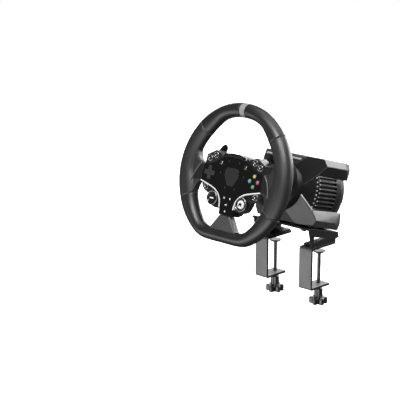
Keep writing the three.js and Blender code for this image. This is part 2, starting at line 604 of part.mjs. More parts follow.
// The rear cover closes the barrel, holds the rear bearing, and has the power button and a recess
// for the sockets.
function buildRearCover() {
  const points = [28, 4, -7, -18, -40].flatMap((z) => [[barrelEdge(z), REAR_COVER.front, z],
    [barrelEdge(z) - 3, REAR_COVER.rear, z]]);
  for (const z of [BARREL.top, BARREL.bottom]) {
    points.push([BARREL.corner, REAR_COVER.front, z], [BARREL.corner - 3, REAR_COVER.rear, z * 0.95]);
  }
  const [x, z] = POWER_BUTTON.place;
  const seat = disc(REAR_BEARING.outer + GAP, REAR_COVER.front - 1, SHAFT.rear + 1, [0, 0], MEDIUM);
  const recess = box(-SOCKET_RECESS.half, SOCKET_RECESS.half, REAR_COVER.rear - SOCKET_RECESS.depth,
    REAR_COVER.rear + 1, SOCKET_RECESS.low, SOCKET_RECESS.high);
  const hole = disc(POWER_BUTTON.radius + GAP, REAR_COVER.rear - 6, REAR_COVER.rear + 1, [x, z]);
  add(head, 'rear_cover', cut(new ConvexGeometry(bothSides(points)), seat, recess, hole), 'matt');
  add(head, 'power_button', turned([[0, REAR_COVER.rear - 4], [POWER_BUTTON.radius, REAR_COVER.rear - 4],
    [POWER_BUTTON.radius, REAR_COVER.rear + 1], [4, REAR_COVER.rear + 1.8], [0, REAR_COVER.rear + 1.8]],
  COARSE, [x, z]), 'satin');
}

// Depth of the plane through three points, at any place across and up.
function facetDepth(a, b, c) {
  const plane = new THREE.Plane().setFromCoplanarPoints(...[a, b, c].map((p) => new THREE.Vector3(...p)));
  const { normal, constant } = plane;
  return (x, z) => [x, -(normal.x * x + normal.z * z + constant) / normal.y, z];
}

// The faceted shells that wrap the barrel above and below, and meet at its sides in a point in front.
function buildShells() {
  const upperTip = [SHELL_TIP.x, SHELL_TIP.y, SHELL_TIP.upper];
  const upperRidge = [SHELL.half, 175, 47.4];
  const upperCorner = [74, 168.5, SHELL.top];
  const upperFront = facetDepth(upperTip, upperRidge, upperCorner);
  const upper = [upperTip, upperRidge, upperCorner, upperFront(55, SHELL.top), upperFront(41, 42),
    [74, 236, SHELL.top - 0.7], [70, SHELL.rear, SHELL.top - 2.7], [SHELL.half, 241, 46.2],
    [74, SHELL.rear, 44.4], [72, 162.5, 29], [71, SHELL.rear, 20]];

  const lowerTip = [SHELL_TIP.x, SHELL_TIP.y, SHELL_TIP.lower];
  const lowerRidge = [SHELL.half, 171.8, -60.2];
  const lowerCorner = [44, 155.6, -73.6];
  const lowerFront = facetDepth(lowerTip, lowerRidge, lowerCorner);
  const lower = [lowerTip, lowerRidge, lowerCorner, lowerFront(37.5, -66.8), lowerFront(27, -51.7),
    lowerFront(72, -73.1), [SHELL.half, 232, -61.2], [74, SHELL.rear, -62.6], [72, 163.5, -41],
    [71, SHELL.rear, -39.2], [70, SHELL.rear, -76.8]];

  const room = motorForm(SHELL.rear + 2, GAP);
  const slots = [-3, -2, -1, 0, 1, 2, 3].map((i) => box(i * 11 - 3, i * 11 + 3, 148, 160, 50, 70));
  add(head, 'upper_shell', cut(new ConvexGeometry(bothSides(upper)), room,
    box(-57, 57, 184, 240, 44, 57), ...slots), 'matt');
  add(head, 'lower_shell', cut(new ConvexGeometry(bothSides(lower)), room,
    box(-57, 57, 168, 248, -69.5, -55)), 'matt');
  add(head, 'control_board', box(-50, 50, 170, 240, -66, -64.4), 'circuit');
}

// ---------- Bracket and clamps ----------

// Place of a point of the head's middle plane in the table's directions.
function headToTable(y, z) {
  const turn = THREE.MathUtils.degToRad(HEAD_TILT);
  return [WHEEL_CENTRE[1] + z * Math.sin(turn) + y * Math.cos(turn),
    WHEEL_CENTRE[2] + z * Math.cos(turn) - y * Math.sin(turn)];
}

function buildBracket() {
  const plateOutline = outline([headToTable(PLATE.front, PLATE.top), headToTable(PLATE.rear, PLATE.top),
    headToTable(PLATE.rear, PLATE.bottom), headToTable(PLATE.front, PLATE.bottom)]);
  const pieces = [across(plateOutline, -PLATE.halfWidth, PLATE.halfWidth)];
  const underside = CLAMP.thick + GAP;
  const gusset = outline([headToTable(PLATE.front + 4, PLATE.bottom + 1), headToTable(PLATE.rear, PLATE.bottom + 1),
    [81, 12], [71, 10], [71, underside], [-4, underside]]);
  const window = outline([[3.9, 27.1], [38, 18.5], [1.2, 16.6]]);
  const windowCut = across(window, -PLATE.halfWidth - 1, PLATE.halfWidth + 1);
  for (const sign of Object.values(SIDES)) {
    const [near, far] = [sign * PLATE.halfWidth, sign * (PLATE.halfWidth - PLATE.thick)];
    pieces.push(across(gusset, Math.min(near, far), Math.max(near, far)));
    const inner = sign * (CLAMP.x - CLAMP.width / 2);
    pieces.push(box(Math.min(near, inner), Math.max(near, inner), 8, 68, underside, underside + PLATE.thick));
    for (const [y, level] of [[182, -75.1], [236, -76.8]]) {
      const boss = upright([[0, PLATE.top - 1], [7, PLATE.top - 1], [7, level], [0, level]], sign * 45, y, 12);
      boss.rotateX(-THREE.MathUtils.degToRad(HEAD_TILT));
      boss.translate(...WHEEL_CENTRE);
      pieces.push(boss);
    }
  }
  add(table, 'mount_bracket', cut(joined(...pieces), windowCut), 'powder');
}

// A strip bent into a C, open to the rear, with its bends rounded outside.
function clampOutline() {
  const { thick, bend, upper, lower, drop } = CLAMP;
  const shape = new THREE.Shape();
  shape.moveTo(upper, thick);
  shape.lineTo(-thick + bend, thick);
  shape.absarc(-thick + bend, thick - bend, bend, Math.PI / 2, Math.PI, false);
  shape.lineTo(-thick, -drop + bend);
  shape.absarc(-thick + bend, -drop + bend, bend, Math.PI, Math.PI * 1.5, false);
  shape.lineTo(lower, -drop);
  shape.lineTo(lower, -drop + thick);
  shape.lineTo(0, -drop + thick);
  shape.lineTo(0, 0);
  shape.lineTo(upper, 0);
  shape.closePath();
  return shape;
}

function starKnob(x) {
  const lobes = 6;
  const pieces = [upright([[0, SCREW.bottom], [SCREW.knob - 5, SCREW.bottom], [SCREW.knob - 5, SCREW.knobTop],
    [SCREW.collar, SCREW.knobTop], [SCREW.collar - 1, SCREW.collarTop], [SCREW.radius, SCREW.collarTop],
    [SCREW.radius, SCREW.top], [0, SCREW.top]], x, CLAMP.screwY, COARSE)];
  for (let i = 0; i < lobes; i += 1) {
    const turn = (i / lobes) * Math.PI * 2;
    const reach = SCREW.knob - 4.5;
    pieces.push(upright([[0, SCREW.bottom + 0.5], [4, SCREW.bottom + 0.5], [4.5, SCREW.bottom + 2],
      [4.5, SCREW.knobTop - 2], [4, SCREW.knobTop - 0.5], [0, SCREW.knobTop - 0.5]],
    x + reach * Math.cos(turn), CLAMP.screwY + reach * Math.sin(turn), 10));
  }
  return joined(...pieces);
}

function buildClamps() {
  const half = CLAMP.width / 2;
  for (const [side, sign] of Object.entries(SIDES)) {
    const x = sign * CLAMP.x;
    const hole = upright([[0, -CLAMP.drop - 1], [SCREW.radius + GAP, -CLAMP.drop - 1],
      [SCREW.radius + GAP, -CLAMP.drop + CLAMP.thick + 1], [0, -CLAMP.drop + CLAMP.thick + 1]], x, CLAMP.screwY);
    add(table, `clamp_frame_${side}`, cut(across(clampOutline(), x - half, x + half), hole), 'powder');
    add(table, `clamp_pad_${side}`, upright([[0, PAD.bottom], [PAD.neck, PAD.bottom], [PAD.neck, PAD.top - PAD.thick],
      [PAD.radius, PAD.top - PAD.thick], [PAD.radius, PAD.top], [0, PAD.top]], x, CLAMP.screwY, 24), 'powder');
    add(table, `clamp_screw_${side}`, starKnob(x), 'powder');
  }
}

buildRim();
buildPanel();
buildHousing();
buildPods();
buildKnobs();
buildPaddles();
buildMotor();
buildRearCover();
buildShells();
buildBracket();
buildClamps();

export default object;
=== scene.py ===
"""Looks of the racing wheel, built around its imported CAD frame.

Blender works in metres. Pieces of the tilted head are laid out in millimetres in the wheel's own
directions: x across, y rearwards along the steering axis, z up in the wheel's plane. Pieces of the
clamps are laid out in millimetres in the table's directions, with z up.
"""

import json
from math import cos, exp, log, pi, radians, sin, sqrt, tan

import bmesh
import bpy
from mathutils import Matrix, Vector

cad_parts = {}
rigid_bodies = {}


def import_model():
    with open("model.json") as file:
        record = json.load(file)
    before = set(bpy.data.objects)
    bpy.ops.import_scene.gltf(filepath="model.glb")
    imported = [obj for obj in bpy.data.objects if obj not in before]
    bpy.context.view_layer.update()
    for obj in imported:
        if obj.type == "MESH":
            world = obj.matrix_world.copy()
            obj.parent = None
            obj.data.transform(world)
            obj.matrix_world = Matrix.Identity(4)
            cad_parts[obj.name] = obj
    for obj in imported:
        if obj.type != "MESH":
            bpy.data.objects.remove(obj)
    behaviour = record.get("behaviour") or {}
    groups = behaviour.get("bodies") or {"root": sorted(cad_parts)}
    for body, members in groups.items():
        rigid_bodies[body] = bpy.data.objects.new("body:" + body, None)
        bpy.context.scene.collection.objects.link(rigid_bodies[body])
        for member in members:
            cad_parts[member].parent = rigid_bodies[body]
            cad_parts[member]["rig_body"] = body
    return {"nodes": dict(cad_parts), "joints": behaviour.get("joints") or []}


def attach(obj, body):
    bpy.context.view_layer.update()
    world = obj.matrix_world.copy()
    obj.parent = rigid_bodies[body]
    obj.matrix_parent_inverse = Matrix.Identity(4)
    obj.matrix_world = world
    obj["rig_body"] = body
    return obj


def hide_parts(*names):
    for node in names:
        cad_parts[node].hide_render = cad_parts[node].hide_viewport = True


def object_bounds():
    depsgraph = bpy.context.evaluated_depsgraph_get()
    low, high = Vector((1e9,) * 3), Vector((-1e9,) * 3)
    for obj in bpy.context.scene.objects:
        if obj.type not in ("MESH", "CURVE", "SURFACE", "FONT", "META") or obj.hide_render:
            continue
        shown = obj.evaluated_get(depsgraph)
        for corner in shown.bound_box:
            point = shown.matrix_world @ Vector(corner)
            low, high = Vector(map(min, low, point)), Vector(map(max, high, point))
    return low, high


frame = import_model()
CAD_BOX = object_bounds()

# --- Directions and places from the frame ---

MM = 0.001


def joint(name):
    return next(one for one in frame["joints"] if one["name"] == name)


HUB = Vector(joint("steering")["pos_m"])
REARWARD = Vector(joint("steering")["axis"]).normalized()
ACROSS = Vector((1, 0, 0))
UPWARD = ACROSS.cross(REARWARD)
HEAD_TURN = Matrix((ACROSS, REARWARD, UPWARD)).transposed().to_4x4()
HEAD = Matrix.Translation(HUB) @ HEAD_TURN @ Matrix.Scale(MM, 4)
TABLE = Matrix.Scale(MM, 4)
SIDES = {"left": -1, "right": 1}


def placed(name, data):
    """A new object in the scene."""
    made = bpy.data.objects.new(name, data)
    bpy.context.scene.collection.objects.link(made)
    return made


def aimed(made, place, target):
    """Puts a camera or a lamp at a place, looking at a target."""
    made.location = place
    made.rotation_mode = "QUATERNION"
    made.rotation_quaternion = (target - place).to_track_quat("-Z", "Y")


# --- Camera ---

# Angles in degrees, lens in millimetres, the rest in metres
CAMERA_AZIMUTH = 42.79
CAMERA_ELEVATION = 13.64
CAMERA_DISTANCE = 2.548
CAMERA_LENS = 120.74
AIM_LEFT = 0.0648
AIM_DOWN = 0.046


def build_camera():
    """A long lens that looks at a point a little left of the hub and below it."""
    azimuth, elevation = radians(CAMERA_AZIMUTH), radians(CAMERA_ELEVATION)
    back = Vector((sin(azimuth) * cos(elevation), -cos(azimuth) * cos(elevation), sin(elevation)))
    right = Vector((cos(azimuth), sin(azimuth), 0))
    up = back.cross(right)
    data = bpy.data.cameras.new("camera")
    data.lens = CAMERA_LENS
    camera = placed("camera", data)
    aimed(camera, HUB + back * CAMERA_DISTANCE, HUB - right * AIM_LEFT - up * AIM_DOWN)
    bpy.context.scene.camera = camera


# --- Materials ---


def tint(levels):
    """Linear colour from the screen level of a grey, or the three levels of a colour, of 0 to 255."""
    levels = levels if isinstance(levels, tuple) else (levels,) * 3
    return tuple(((v / 255 + 0.055) / 1.055) ** 2.4 if v > 10 else v / 255 / 12.92 for v in levels)


def set_inputs(node, values):
    for key, value in values.items():
        node.inputs[key].default_value = value


class Surface:
    """A Principled material whose colour, roughness and relief are worked out from the place on the piece."""

    def __init__(self, name, levels, roughness, metallic=0.0, coat=0.0, specular=0.5):
        self.material = bpy.data.materials.new(name)
        self.material.use_nodes = True
        self.nodes = self.material.node_tree.nodes
        self.link = self.material.node_tree.links.new
        self.shader = self.nodes["Principled BSDF"]
        self.colour = tint(levels)
        set_inputs(self.shader, {
            "Base Color": (*self.colour, 1), "Roughness": roughness, "Metallic": metallic,
            "Specular IOR Level": specular, "Coat Weight": coat, "Coat Roughness": 0.08})
        self.place = self.nodes.new("ShaderNodeTexCoord").outputs["Object"]
        self.normal = None

    def painted_glow(self, strength):
        """Painted light: emission that brightens caps, prints, edges and studs beyond what the lamps give
        them.
        """
        set_inputs(self.shader, {"Emission Color": (*self.colour, 1), "Emission Strength": strength})
        return self

    def pattern(self, kind, scale, **settings):
        """Output of a noise or cell pattern with features of about 1 / scale metres."""
        node = self.nodes.new("ShaderNodeTexVoronoi" if kind == "cells" else "ShaderNodeTexNoise")
        self.link(self.place, node.inputs["Vector"])
        set_inputs(node, {"Scale": scale, **settings})
        return node.outputs["Distance"] if kind == "cells" else node.outputs["Fac"]

    def ranged(self, value, low, high):
        """The middle stretch of a pattern, spread from low to high."""
        node = self.nodes.new("ShaderNodeMapRange")
        self.link(value, node.inputs["Value"])
        set_inputs(node, {"From Min": 0.3, "From Max": 0.7, "To Min": low, "To Max": high})
        return node.outputs["Result"]

    def mottle(self, scale, depth):
        """Light and dark variation of the colour."""
        mix = self.nodes.new("ShaderNodeMix")
        mix.data_type = "RGBA"
        self.link(self.ranged(self.pattern("noise", scale, Detail=4), 0, 1), mix.inputs["Factor"])
        mix.inputs[6].default_value = (*[c * (1 - depth) for c in self.colour], 1)
        mix.inputs[7].default_value = (*[min(1, c * (1 + depth)) for c in self.colour], 1)
        self.link(mix.outputs[2], self.shader.inputs["Base Color"])
        return self

    def worn(self, scale, low, high):
        """Roughness that varies from low to high, as rubbed and untouched areas do."""
        value = self.ranged(self.pattern("noise", scale, Detail=5), low, high)
        self.link(value, self.shader.inputs["Roughness"])
        return self

    def relief(self, kind, scale, depth, strength, **settings):
        """Adds raised and sunken detail of a depth in millimetres to whatever relief there is."""
        node = self.nodes.new("ShaderNodeBump")
        set_inputs(node, {"Strength": strength, "Distance": depth * MM})
        self.link(self.pattern(kind, scale, **settings), node.inputs["Height"])
        if self.normal:
            self.link(self.normal, node.inputs["Normal"])
        self.normal = node.outputs["Normal"]
        self.link(self.normal, self.shader.inputs["Normal"])
        return self


def leather(name, levels, low, high, cell, depth):
    return (Surface(name, levels, (low + high) / 2, specular=1.0)
            .mottle(45, 0.18)
            .worn(30, low, high)
            .relief("cells", cell, depth, 0.55, Randomness=0.9)
            .relief("noise", 2600, 0.08, 0.35, Detail=6)
            .material)


def moulded(name, levels, low, high, speck, depth, specular=0.5, metallic=0.0):
    return (Surface(name, levels, (low + high) / 2, metallic=metallic, specular=specular)
            .mottle(25, 0.08)
            .worn(18, low, high)
            .relief("noise", speck, depth, 0.5, Detail=3)
            .material)


def glossy(name, levels, roughness, coat, painted_glow=0.0):
    return (Surface(name, levels, roughness, coat=coat)
            .painted_glow(painted_glow)
            .mottle(60, 0.06)
            .worn(40, roughness * 0.7, roughness * 1.5)
            .relief("noise", 500, 0.01, 0.2, Detail=2)
            .material)


def metal(name, levels, low, high, speck, depth, metallic=1.0, mottle=0.1, painted_glow=0.0):
    return (Surface(name, levels, (low + high) / 2, metallic=metallic)
            .painted_glow(painted_glow)
            .mottle(70, mottle)
            .worn(50, low, high)
            .relief("noise", speck, depth, 0.4, Detail=5)
            .material)


# Screen levels, lowest and highest roughness, grains in a metre, their depth in millimetres
LEATHERS = {
    "rim_leather": (28, 0.34, 0.42, 900, 0.14),
    "grip_leather": (38, 0.36, 0.46, 620, 0.5),
    "band_leather": (158, 0.45, 0.6, 900, 0.12),
    "thread": (84, 0.55, 0.7, 1800, 0.1),
}

# As above, then specular level and metallic share
MOULDINGS = {
    "satin_plastic": (78, 0.26, 0.36, 1500, 0.03, 0.8),
    "paddle_black": (8, 0.5, 0.6, 1500, 0.02, 0.25),
    "hub_plastic": (34, 0.3, 0.42, 1500, 0.03),
    "pad_plastic": (56, 0.4, 0.5, 1500, 0.03),
    "badge_plastic": (46, 0.34, 0.44, 1500, 0.03),
    # shell_plastic and lower_plastic are one plastic at two levels: the lower shell's lighter copy is painted
    # light for its lit front facet.
    "shell_plastic": (44, 0.32, 0.42, 1400, 0.05, 0.7, 0.2),
    "lower_plastic": (92, 0.32, 0.42, 1400, 0.05, 0.9, 0.35),
    "cover_plastic": (50, 0.4, 0.5, 1400, 0.06),
    # Crease lines: lighter than the shells, painted highlights along their edges.
    "crease_soft": (92, 0.3, 0.4, 1400, 0.03, 0.8),
    # The flare's rolled edge: lighter than the black moulding, a painted highlight.
    "flare_bevel": (92, 0.3, 0.4, 1400, 0.03, 0.8),
    "circuit": ((18, 74, 42), 0.35, 0.5, 400, 0.05),
    "socket_black": (14, 0.5, 0.6, 1500, 0.03),
}

# Screen levels, roughness, coat, painted glow (emission that stands for light)
GLOSSES = {
    "panel_gloss": (16, 0.14, 0.3),
    "bar_gloss": (16, 0.2, 0.4),
    "lamp": (52, 0.1, 0.6),
    # Vent lips: lighter than the shell, a painted highlight; the front row is a brighter, glowing copy.
    "vent_rear": (112, 0.3, 0.2),
    "vent_front": (200, 0.25, 0.3, 0.3),
    # A brighter, glowing crease line: a painted highlight.
    "crease_bright": (196, 0.3, 0.3, 0.8),
    "button_black": (24, 0.2, 0.6),
    # The white trim and the white and coloured caps glow a little, painted light that brightens them.
    "trim_white": (240, 0.2, 0.4, 0.25),
    "cap_white": (240, 0.16, 0.7, 0.2),
    "cap_yellow": ((196, 184, 92), 0.16, 0.8, 0.15),
    "cap_red": ((196, 104, 120), 0.16, 0.8, 0.15),
    "cap_green": ((98, 172, 126), 0.16, 0.8, 0.15),
    "cap_teal": ((88, 172, 166), 0.16, 0.8, 0.15),
}

# Screen levels, lowest and highest roughness, grain and its depth, then metallic share, mottle and painted
# glow (emission that stands for light)
METALS = {
    "cap_silver": (150, 0.14, 0.22, 300, 0.01),
    # Chrome's small painted glow brightens its rings.
    "chrome": (215, 0.12, 0.2, 300, 0.01, 1.0, 0.1, 0.05),
    "black_metal": (52, 0.24, 0.36, 1200, 0.02, 0.7),
    "cast_metal": (50, 0.38, 0.5, 700, 0.06, 0.5),
    # Fin studs: bright glowing metal, a painted highlight for the fins' curled front ends.
    "rib_metal": (190, 0.25, 0.4, 900, 0.02, 1.0, 0.1, 0.12),
    "fin_edge": (48, 0.4, 0.5, 900, 0.02, 0.4),
    "powder_coat": (138, 0.4, 0.5, 1500, 0.04, 0.3, 0.05),
    "bracket_coat": (52, 0.38, 0.5, 1500, 0.06, 0.5),
    "screw_steel": (118, 0.28, 0.38, 1500, 0.02),
    "knob_steel": (98, 0.3, 0.42, 1500, 0.02),
    # Darker side faces of the clamp strips: painted shade.
    "strip_edge": (34, 0.5, 0.6, 1500, 0.02, 0.3),
    "bare_steel": (190, 0.25, 0.4, 700, 0.03),
    "copper": ((184, 110, 64), 0.3, 0.45, 600, 0.1),
}

KINDS = ((leather, LEATHERS), (moulded, MOULDINGS), (glossy, GLOSSES), (metal, METALS))
LOOKS = {name: make(name, *values) for make, table in KINDS for name, values in table.items()}

# --- Outlines ---

CORNER = radians(28)
STRAIGHT = radians(0.6)
CIRCLE_STEPS = 48


def cubic(start, leave, end, arrive, t):
    """A point between start and end, on a curve with the slopes leave and arrive at its ends."""
    return (start * (2 * t ** 3 - 3 * t ** 2 + 1) + leave * (t ** 3 - 2 * t ** 2 + t)
            + end * (3 * t ** 2 - 2 * t ** 3) + arrive * (t ** 3 - t ** 2))


def bend(start, corner, end, steps):
    """Points of a curve that leaves start towards corner and comes from corner to end."""
    return [tuple(a * (1 - t) ** 2 + b * 2 * t * (1 - t) + c * t ** 2 for a, b, c in zip(start, corner, end))
            for t in [k / steps for k in range(steps + 1)]]


def turn_at(loop, i):
    """How far an outline turns at one of its points, in radians."""
    before, here, after = (Vector(loop[(i + k) % len(loop)]) for k in (-1, 0, 1))
    first, second = here - before, after - here
    if first.length < 1e-6 or second.length < 1e-6:
        return 0.0
    return abs(first.angle_signed(second))


def around(centre, radius, angle):
    return centre[0] + radius * cos(angle), centre[1] + radius * sin(angle)


def circle(centre, radius, steps=CIRCLE_STEPS):
    return [around(centre, radius, 2 * pi * i / steps) for i in range(steps)]


def smoothed(loop, steps=4):
    """Runs a smooth curve through the gentle turns of an outline and keeps its corners."""
    points = []
    for i, point in enumerate(loop):
        before, here, after, beyond = (Vector(loop[(i + k) % len(loop)]) for k in (-1, 0, 1, 2))
        leave = arrive = after - here
        if turn_at(loop, i) < CORNER:
            leave = (after - before).normalized() * (after - here).length
        if turn_at(loop, (i + 1) % len(loop)) < CORNER:
            arrive = (beyond - here).normalized() * (after - here).length
        points += [tuple(cubic(here, leave, after, arrive, k / steps)) for k in range(steps)]
    return points


def rounded(loop, radius, steps=4, closed=True):
    """An outline with its corners turned into arcs of about a radius."""
    points = []
    for i, point in enumerate(loop):
        here = Vector(point)
        if (not closed and i in (0, len(loop) - 1)) or turn_at(loop, i) < CORNER:
            points.append(tuple(here))
            continue
        before = Vector(loop[i - 1])
        after = Vector(loop[(i + 1) % len(loop)])
        reach = radius * tan(turn_at(loop, i) / 2)
        reach = min(reach, (before - here).length * 0.45, (after - here).length * 0.45)
        start = here + (before - here).normalized() * reach
        end = here + (after - here).normalized() * reach
        points += bend(start, here, end, steps)
    return points


def without_straight(loop):
    return [point for i, point in enumerate(loop) if turn_at(loop, i) > STRAIGHT]


def moved(loop, place):
    return [(place[0] + x, place[1] + z) for x, z in loop]


def box_loop(place, half_wide, half_high, lean=0.0):
    """A box, or with lean a parallelogram that leans sideways."""
    return moved([(-half_wide - lean, -half_high), (half_wide - lean, -half_high),
                  (half_wide + lean, half_high), (lean - half_wide, half_high)], place)


def is_round(loop):
    """Whether an outline is a circle, with its centre and mean radius."""
    centre = sum((Vector(p) for p in loop), Vector((0, 0))) / len(loop)
    reaches = [(Vector(p) - centre).length for p in loop]
    return max(reaches) < min(reaches) * 1.03, centre, sum(reaches) / len(reaches)


# --- Shapes taken from the CAD nodes ---

WELD = 0.02
FLAT = 0.03
SHARP = radians(24)


def weld(bm, reach):
    bmesh.ops.remove_doubles(bm, verts=bm.verts, dist=reach)


def local_mesh(node, space=HEAD):
    """A welded copy of a CAD node in millimetres."""
    bm = bmesh.new()
    bm.from_mesh(frame["nodes"][node].data)
    bm.transform(space.inverted())
    weld(bm, WELD)
    return bm


def span(node, space=HEAD):
    """Lowest and highest corner of a CAD node in millimetres, in the head's or the table's directions."""
    places = [space.inverted() @ v.co for v in frame["nodes"][node].data.vertices]
    return (Vector([min(p[k] for p in places) for k in range(3)]),
            Vector([max(p[k] for p in places) for k in range(3)]))


def middle(node, space=HEAD):
    low, high = span(node, space)
    return (low + high) / 2


def round_node(node, upright=False):
    """Place, radius, lowest and highest depth of a round CAD node, along y or, if upright, along z."""
    low, high = span(node, TABLE if upright else HEAD)
    centre = (low + high) / 2
    radius = (high.x - low.x) / 2
    if upright:
        return (centre.x, centre.y), radius, low.z, high.z
    return (centre.x, centre.z), radius, low.y, high.y


def front_loops(node, fillet=0.6):
    """Smooth outlines of the flat face that a node shows to the driver, its holes among them."""
    bm = local_mesh(node)
    level = min(v.co.y for v in bm.verts)
    flat = {f for f in bm.faces if all(abs(v.co.y - level) < FLAT for v in f.verts)}
    follow = {}
    for edge in bm.edges:
        if sum(f in flat for f in edge.link_faces) == 1:
            for v in edge.verts:
                follow.setdefault(v, []).append(edge.other_vert(v))
    loops = []
    left = dict.fromkeys(follow)
    while left:
        start = here = next(iter(left))
        before = None
        loop = []
        while True:
            loop.append((here.co.x, here.co.z))
            left.pop(here, None)
            before, here = here, next(v for v in follow[here] if v is not before)
            if here is start:
                break
        loop = without_straight(loop)
        round_one, centre, radius = is_round(loop)
        loops.append(circle(centre, radius) if round_one else rounded(smoothed(loop), fillet))
    bm.free()
    return loops


# --- Meshes in millimetres ---


def mesh_of(bm):
    mesh = bpy.data.meshes.new("part")
    bmesh.ops.recalc_face_normals(bm, faces=bm.faces)
    bm.to_mesh(mesh)
    bm.free()
    return mesh


def merged(*meshes):
    """One mesh of several, which are used up."""
    bm = bmesh.new()
    for mesh in meshes:
        bm.from_mesh(mesh)
        bpy.data.meshes.remove(mesh)
    mesh = bpy.data.meshes.new("part")
    bm.to_mesh(mesh)
    bm.free()
    return mesh


def evaluated(holder):
    """The final mesh of an object, which is used up."""
    graph = bpy.context.evaluated_depsgraph_get()
    mesh = bpy.data.meshes.new_from_object(holder.evaluated_get(graph))
    bpy.data.objects.remove(holder)
    return mesh


def from_curve(curve, matrix=Matrix()):
    """The mesh of a curve, which is used up."""
    mesh = evaluated(placed("outline", curve))
    bpy.data.curves.remove(curve)
    bm = bmesh.new()
    bm.from_mesh(mesh)
    bpy.data.meshes.remove(mesh)
    bm.transform(matrix)
    weld(bm, 0.002)
    return mesh_of(bm)


def curve_of(loops, dimensions, bevel, segments, closed=True):
    curve = bpy.data.curves.new("outline", "CURVE")
    curve.dimensions = dimensions
    curve.bevel_depth = bevel
    curve.bevel_resolution = segments
    for loop in loops:
        spline = curve.splines.new("POLY")
        spline.points.add(len(loop) - 1)
        spline.use_cyclic_u = closed
        for point, place in zip(spline.points, loop):
            point.co[:len(place)] = place
            point.co[3] = 1
    return curve


def plate(loops, front, rear, bevel=0.4, segments=3, upright=False):
    """A flat piece of one or more outlines, with round edges that stand outside the outlines by the bevel."""
    curve = curve_of(loops, "2D", bevel, segments - 1)
    curve.fill_mode = "BOTH"
    curve.extrude = (rear - front) / 2 - bevel
    depth = (front + rear) / 2
    if upright:
        return from_curve(curve, Matrix.Translation((0, 0, depth)))
    return from_curve(curve, Matrix(((1, 0, 0, 0), (0, 0, -1, depth), (0, 1, 0, 0), (0, 0, 0, 1))))


def tube(points, radius, closed=True, sides=3):
    """A round rod along a line of points."""
    curve = curve_of([points], "3D", radius, sides, closed)
    curve.use_fill_caps = not closed
    return from_curve(curve)


def flutes(count, depth, inner, start, end, power=1):
    """Ripple for a turned piece: grooves along it, outside a radius and between two levels."""
    def ripple(reach, level, angle):
        if reach < inner or not start < level < end:
            return 0
        return -depth * (0.5 + 0.5 * cos(count * angle)) ** power

    return ripple


def turned(profile, place, sides=64, upright=False, fillet=0.4, closed=False, ripple=None):
    """A profile of (radius, depth) turned about a line through place, along y or, if upright, along z."""
    profile = rounded(profile, fillet, 3, closed)
    bm = bmesh.new()
    rows = []
    for radius, depth in profile:
        row = []
        for i in range(sides if radius > 1e-6 else 1):
            angle = 2 * pi * i / sides
            reach = radius + (ripple(radius, depth, angle) if ripple else 0)
            x, z = around(place, reach, angle)
            row.append(bm.verts.new((x, z, depth) if upright else (x, depth, z)))
        rows.append(row)
    pairs = list(zip(rows, rows[1:])) + ([(rows[-1], rows[0])] if closed else [])
    for one, two in pairs:
        for i in range(sides if max(len(one), len(two)) > 1 else 0):
            k = (i + 1) % sides
            corners = [one[i % len(one)], one[k % len(one)], two[k % len(two)], two[i % len(two)]]
            bm.faces.new(list(dict.fromkeys(corners)))
    return mesh_of(bm)


def block(low, high, bevel, segments):
    """A box with round edges."""
    bm = bmesh.new()
    bmesh.ops.create_cube(bm, size=1)
    centre = (Vector(low) + Vector(high)) / 2
    size = Vector(high) - Vector(low)
    bm.transform(Matrix.Translation(centre) @ Matrix.Diagonal((*size, 1)))
    bmesh.ops.bevel(bm, geom=bm.edges[:], offset=bevel, segments=segments, profile=0.5, affect="EDGES")
    return mesh_of(bm)


# --- Pieces ---


def piece(name, mesh, look, node, stands_for=(), space=HEAD, smooth=40, weighted=True):
    """Adds a mesh as a piece that rides with a CAD node's body and has the given look."""
    mesh.transform(space)
    mesh.name = name
    mesh.materials.clear()
    mesh.materials.append(LOOKS[look])
    mesh.shade_smooth()
    mesh.set_sharp_from_angle(angle=radians(smooth))
    made = placed(name, mesh)
    if weighted:
        modifier = made.modifiers.new("weighted_normals", "WEIGHTED_NORMAL")
        modifier.keep_sharp = True
    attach(made, frame["nodes"][node]["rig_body"])
    if stands_for:
        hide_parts(*stands_for)
    return made


def instead(node, word, mesh, look, **options):
    """A piece that stands for one CAD node."""
    return piece(f"{node}_{word}", mesh, look, node, stands_for=(node,), **options)


def softened(node, word, look, bevel, segments=3, space=HEAD):
    """A piece with a CAD node's own shape, its sharp edges rounded."""
    bm = local_mesh(node, space)
    weld(bm, 0.05)
    bmesh.ops.dissolve_limit(bm, angle_limit=radians(0.8), verts=bm.verts, edges=bm.edges)
    sharp = [e for e in bm.edges if len(e.link_faces) == 2 and e.calc_face_angle() > SHARP]
    bmesh.ops.bevel(bm, geom=sharp, offset=bevel, segments=segments, profile=0.5, affect="EDGES",
                    clamp_overlap=False, offset_type="OFFSET")
    weld(bm, 0.01)
    return instead(node, word, mesh_of(bm), look, space=space)


def paint(made, look, chosen):
    """Gives a second look to the faces that a test chooses."""
    made.data.materials.append(LOOKS[look])
    for face in made.data.polygons:
        face.material_index = int(chosen(face))


KEPT_NODES = {
    "bare_steel": ("wheel_frame", "d_pad_pivot", "drive_shaft", "rotor", "front_bearing", "rear_bearing"),
    "circuit": ("hub_board", "control_board"),
    "copper": ("stator",),
}


def finish_kept_nodes():
    """New looks for the CAD nodes that stay, which are the parts inside."""
    for look, nodes in KEPT_NODES.items():
        for node in nodes:
            slots = frame["nodes"][node].data.materials
            slots.clear()
            slots.append(LOOKS[look])


# --- Rim ---

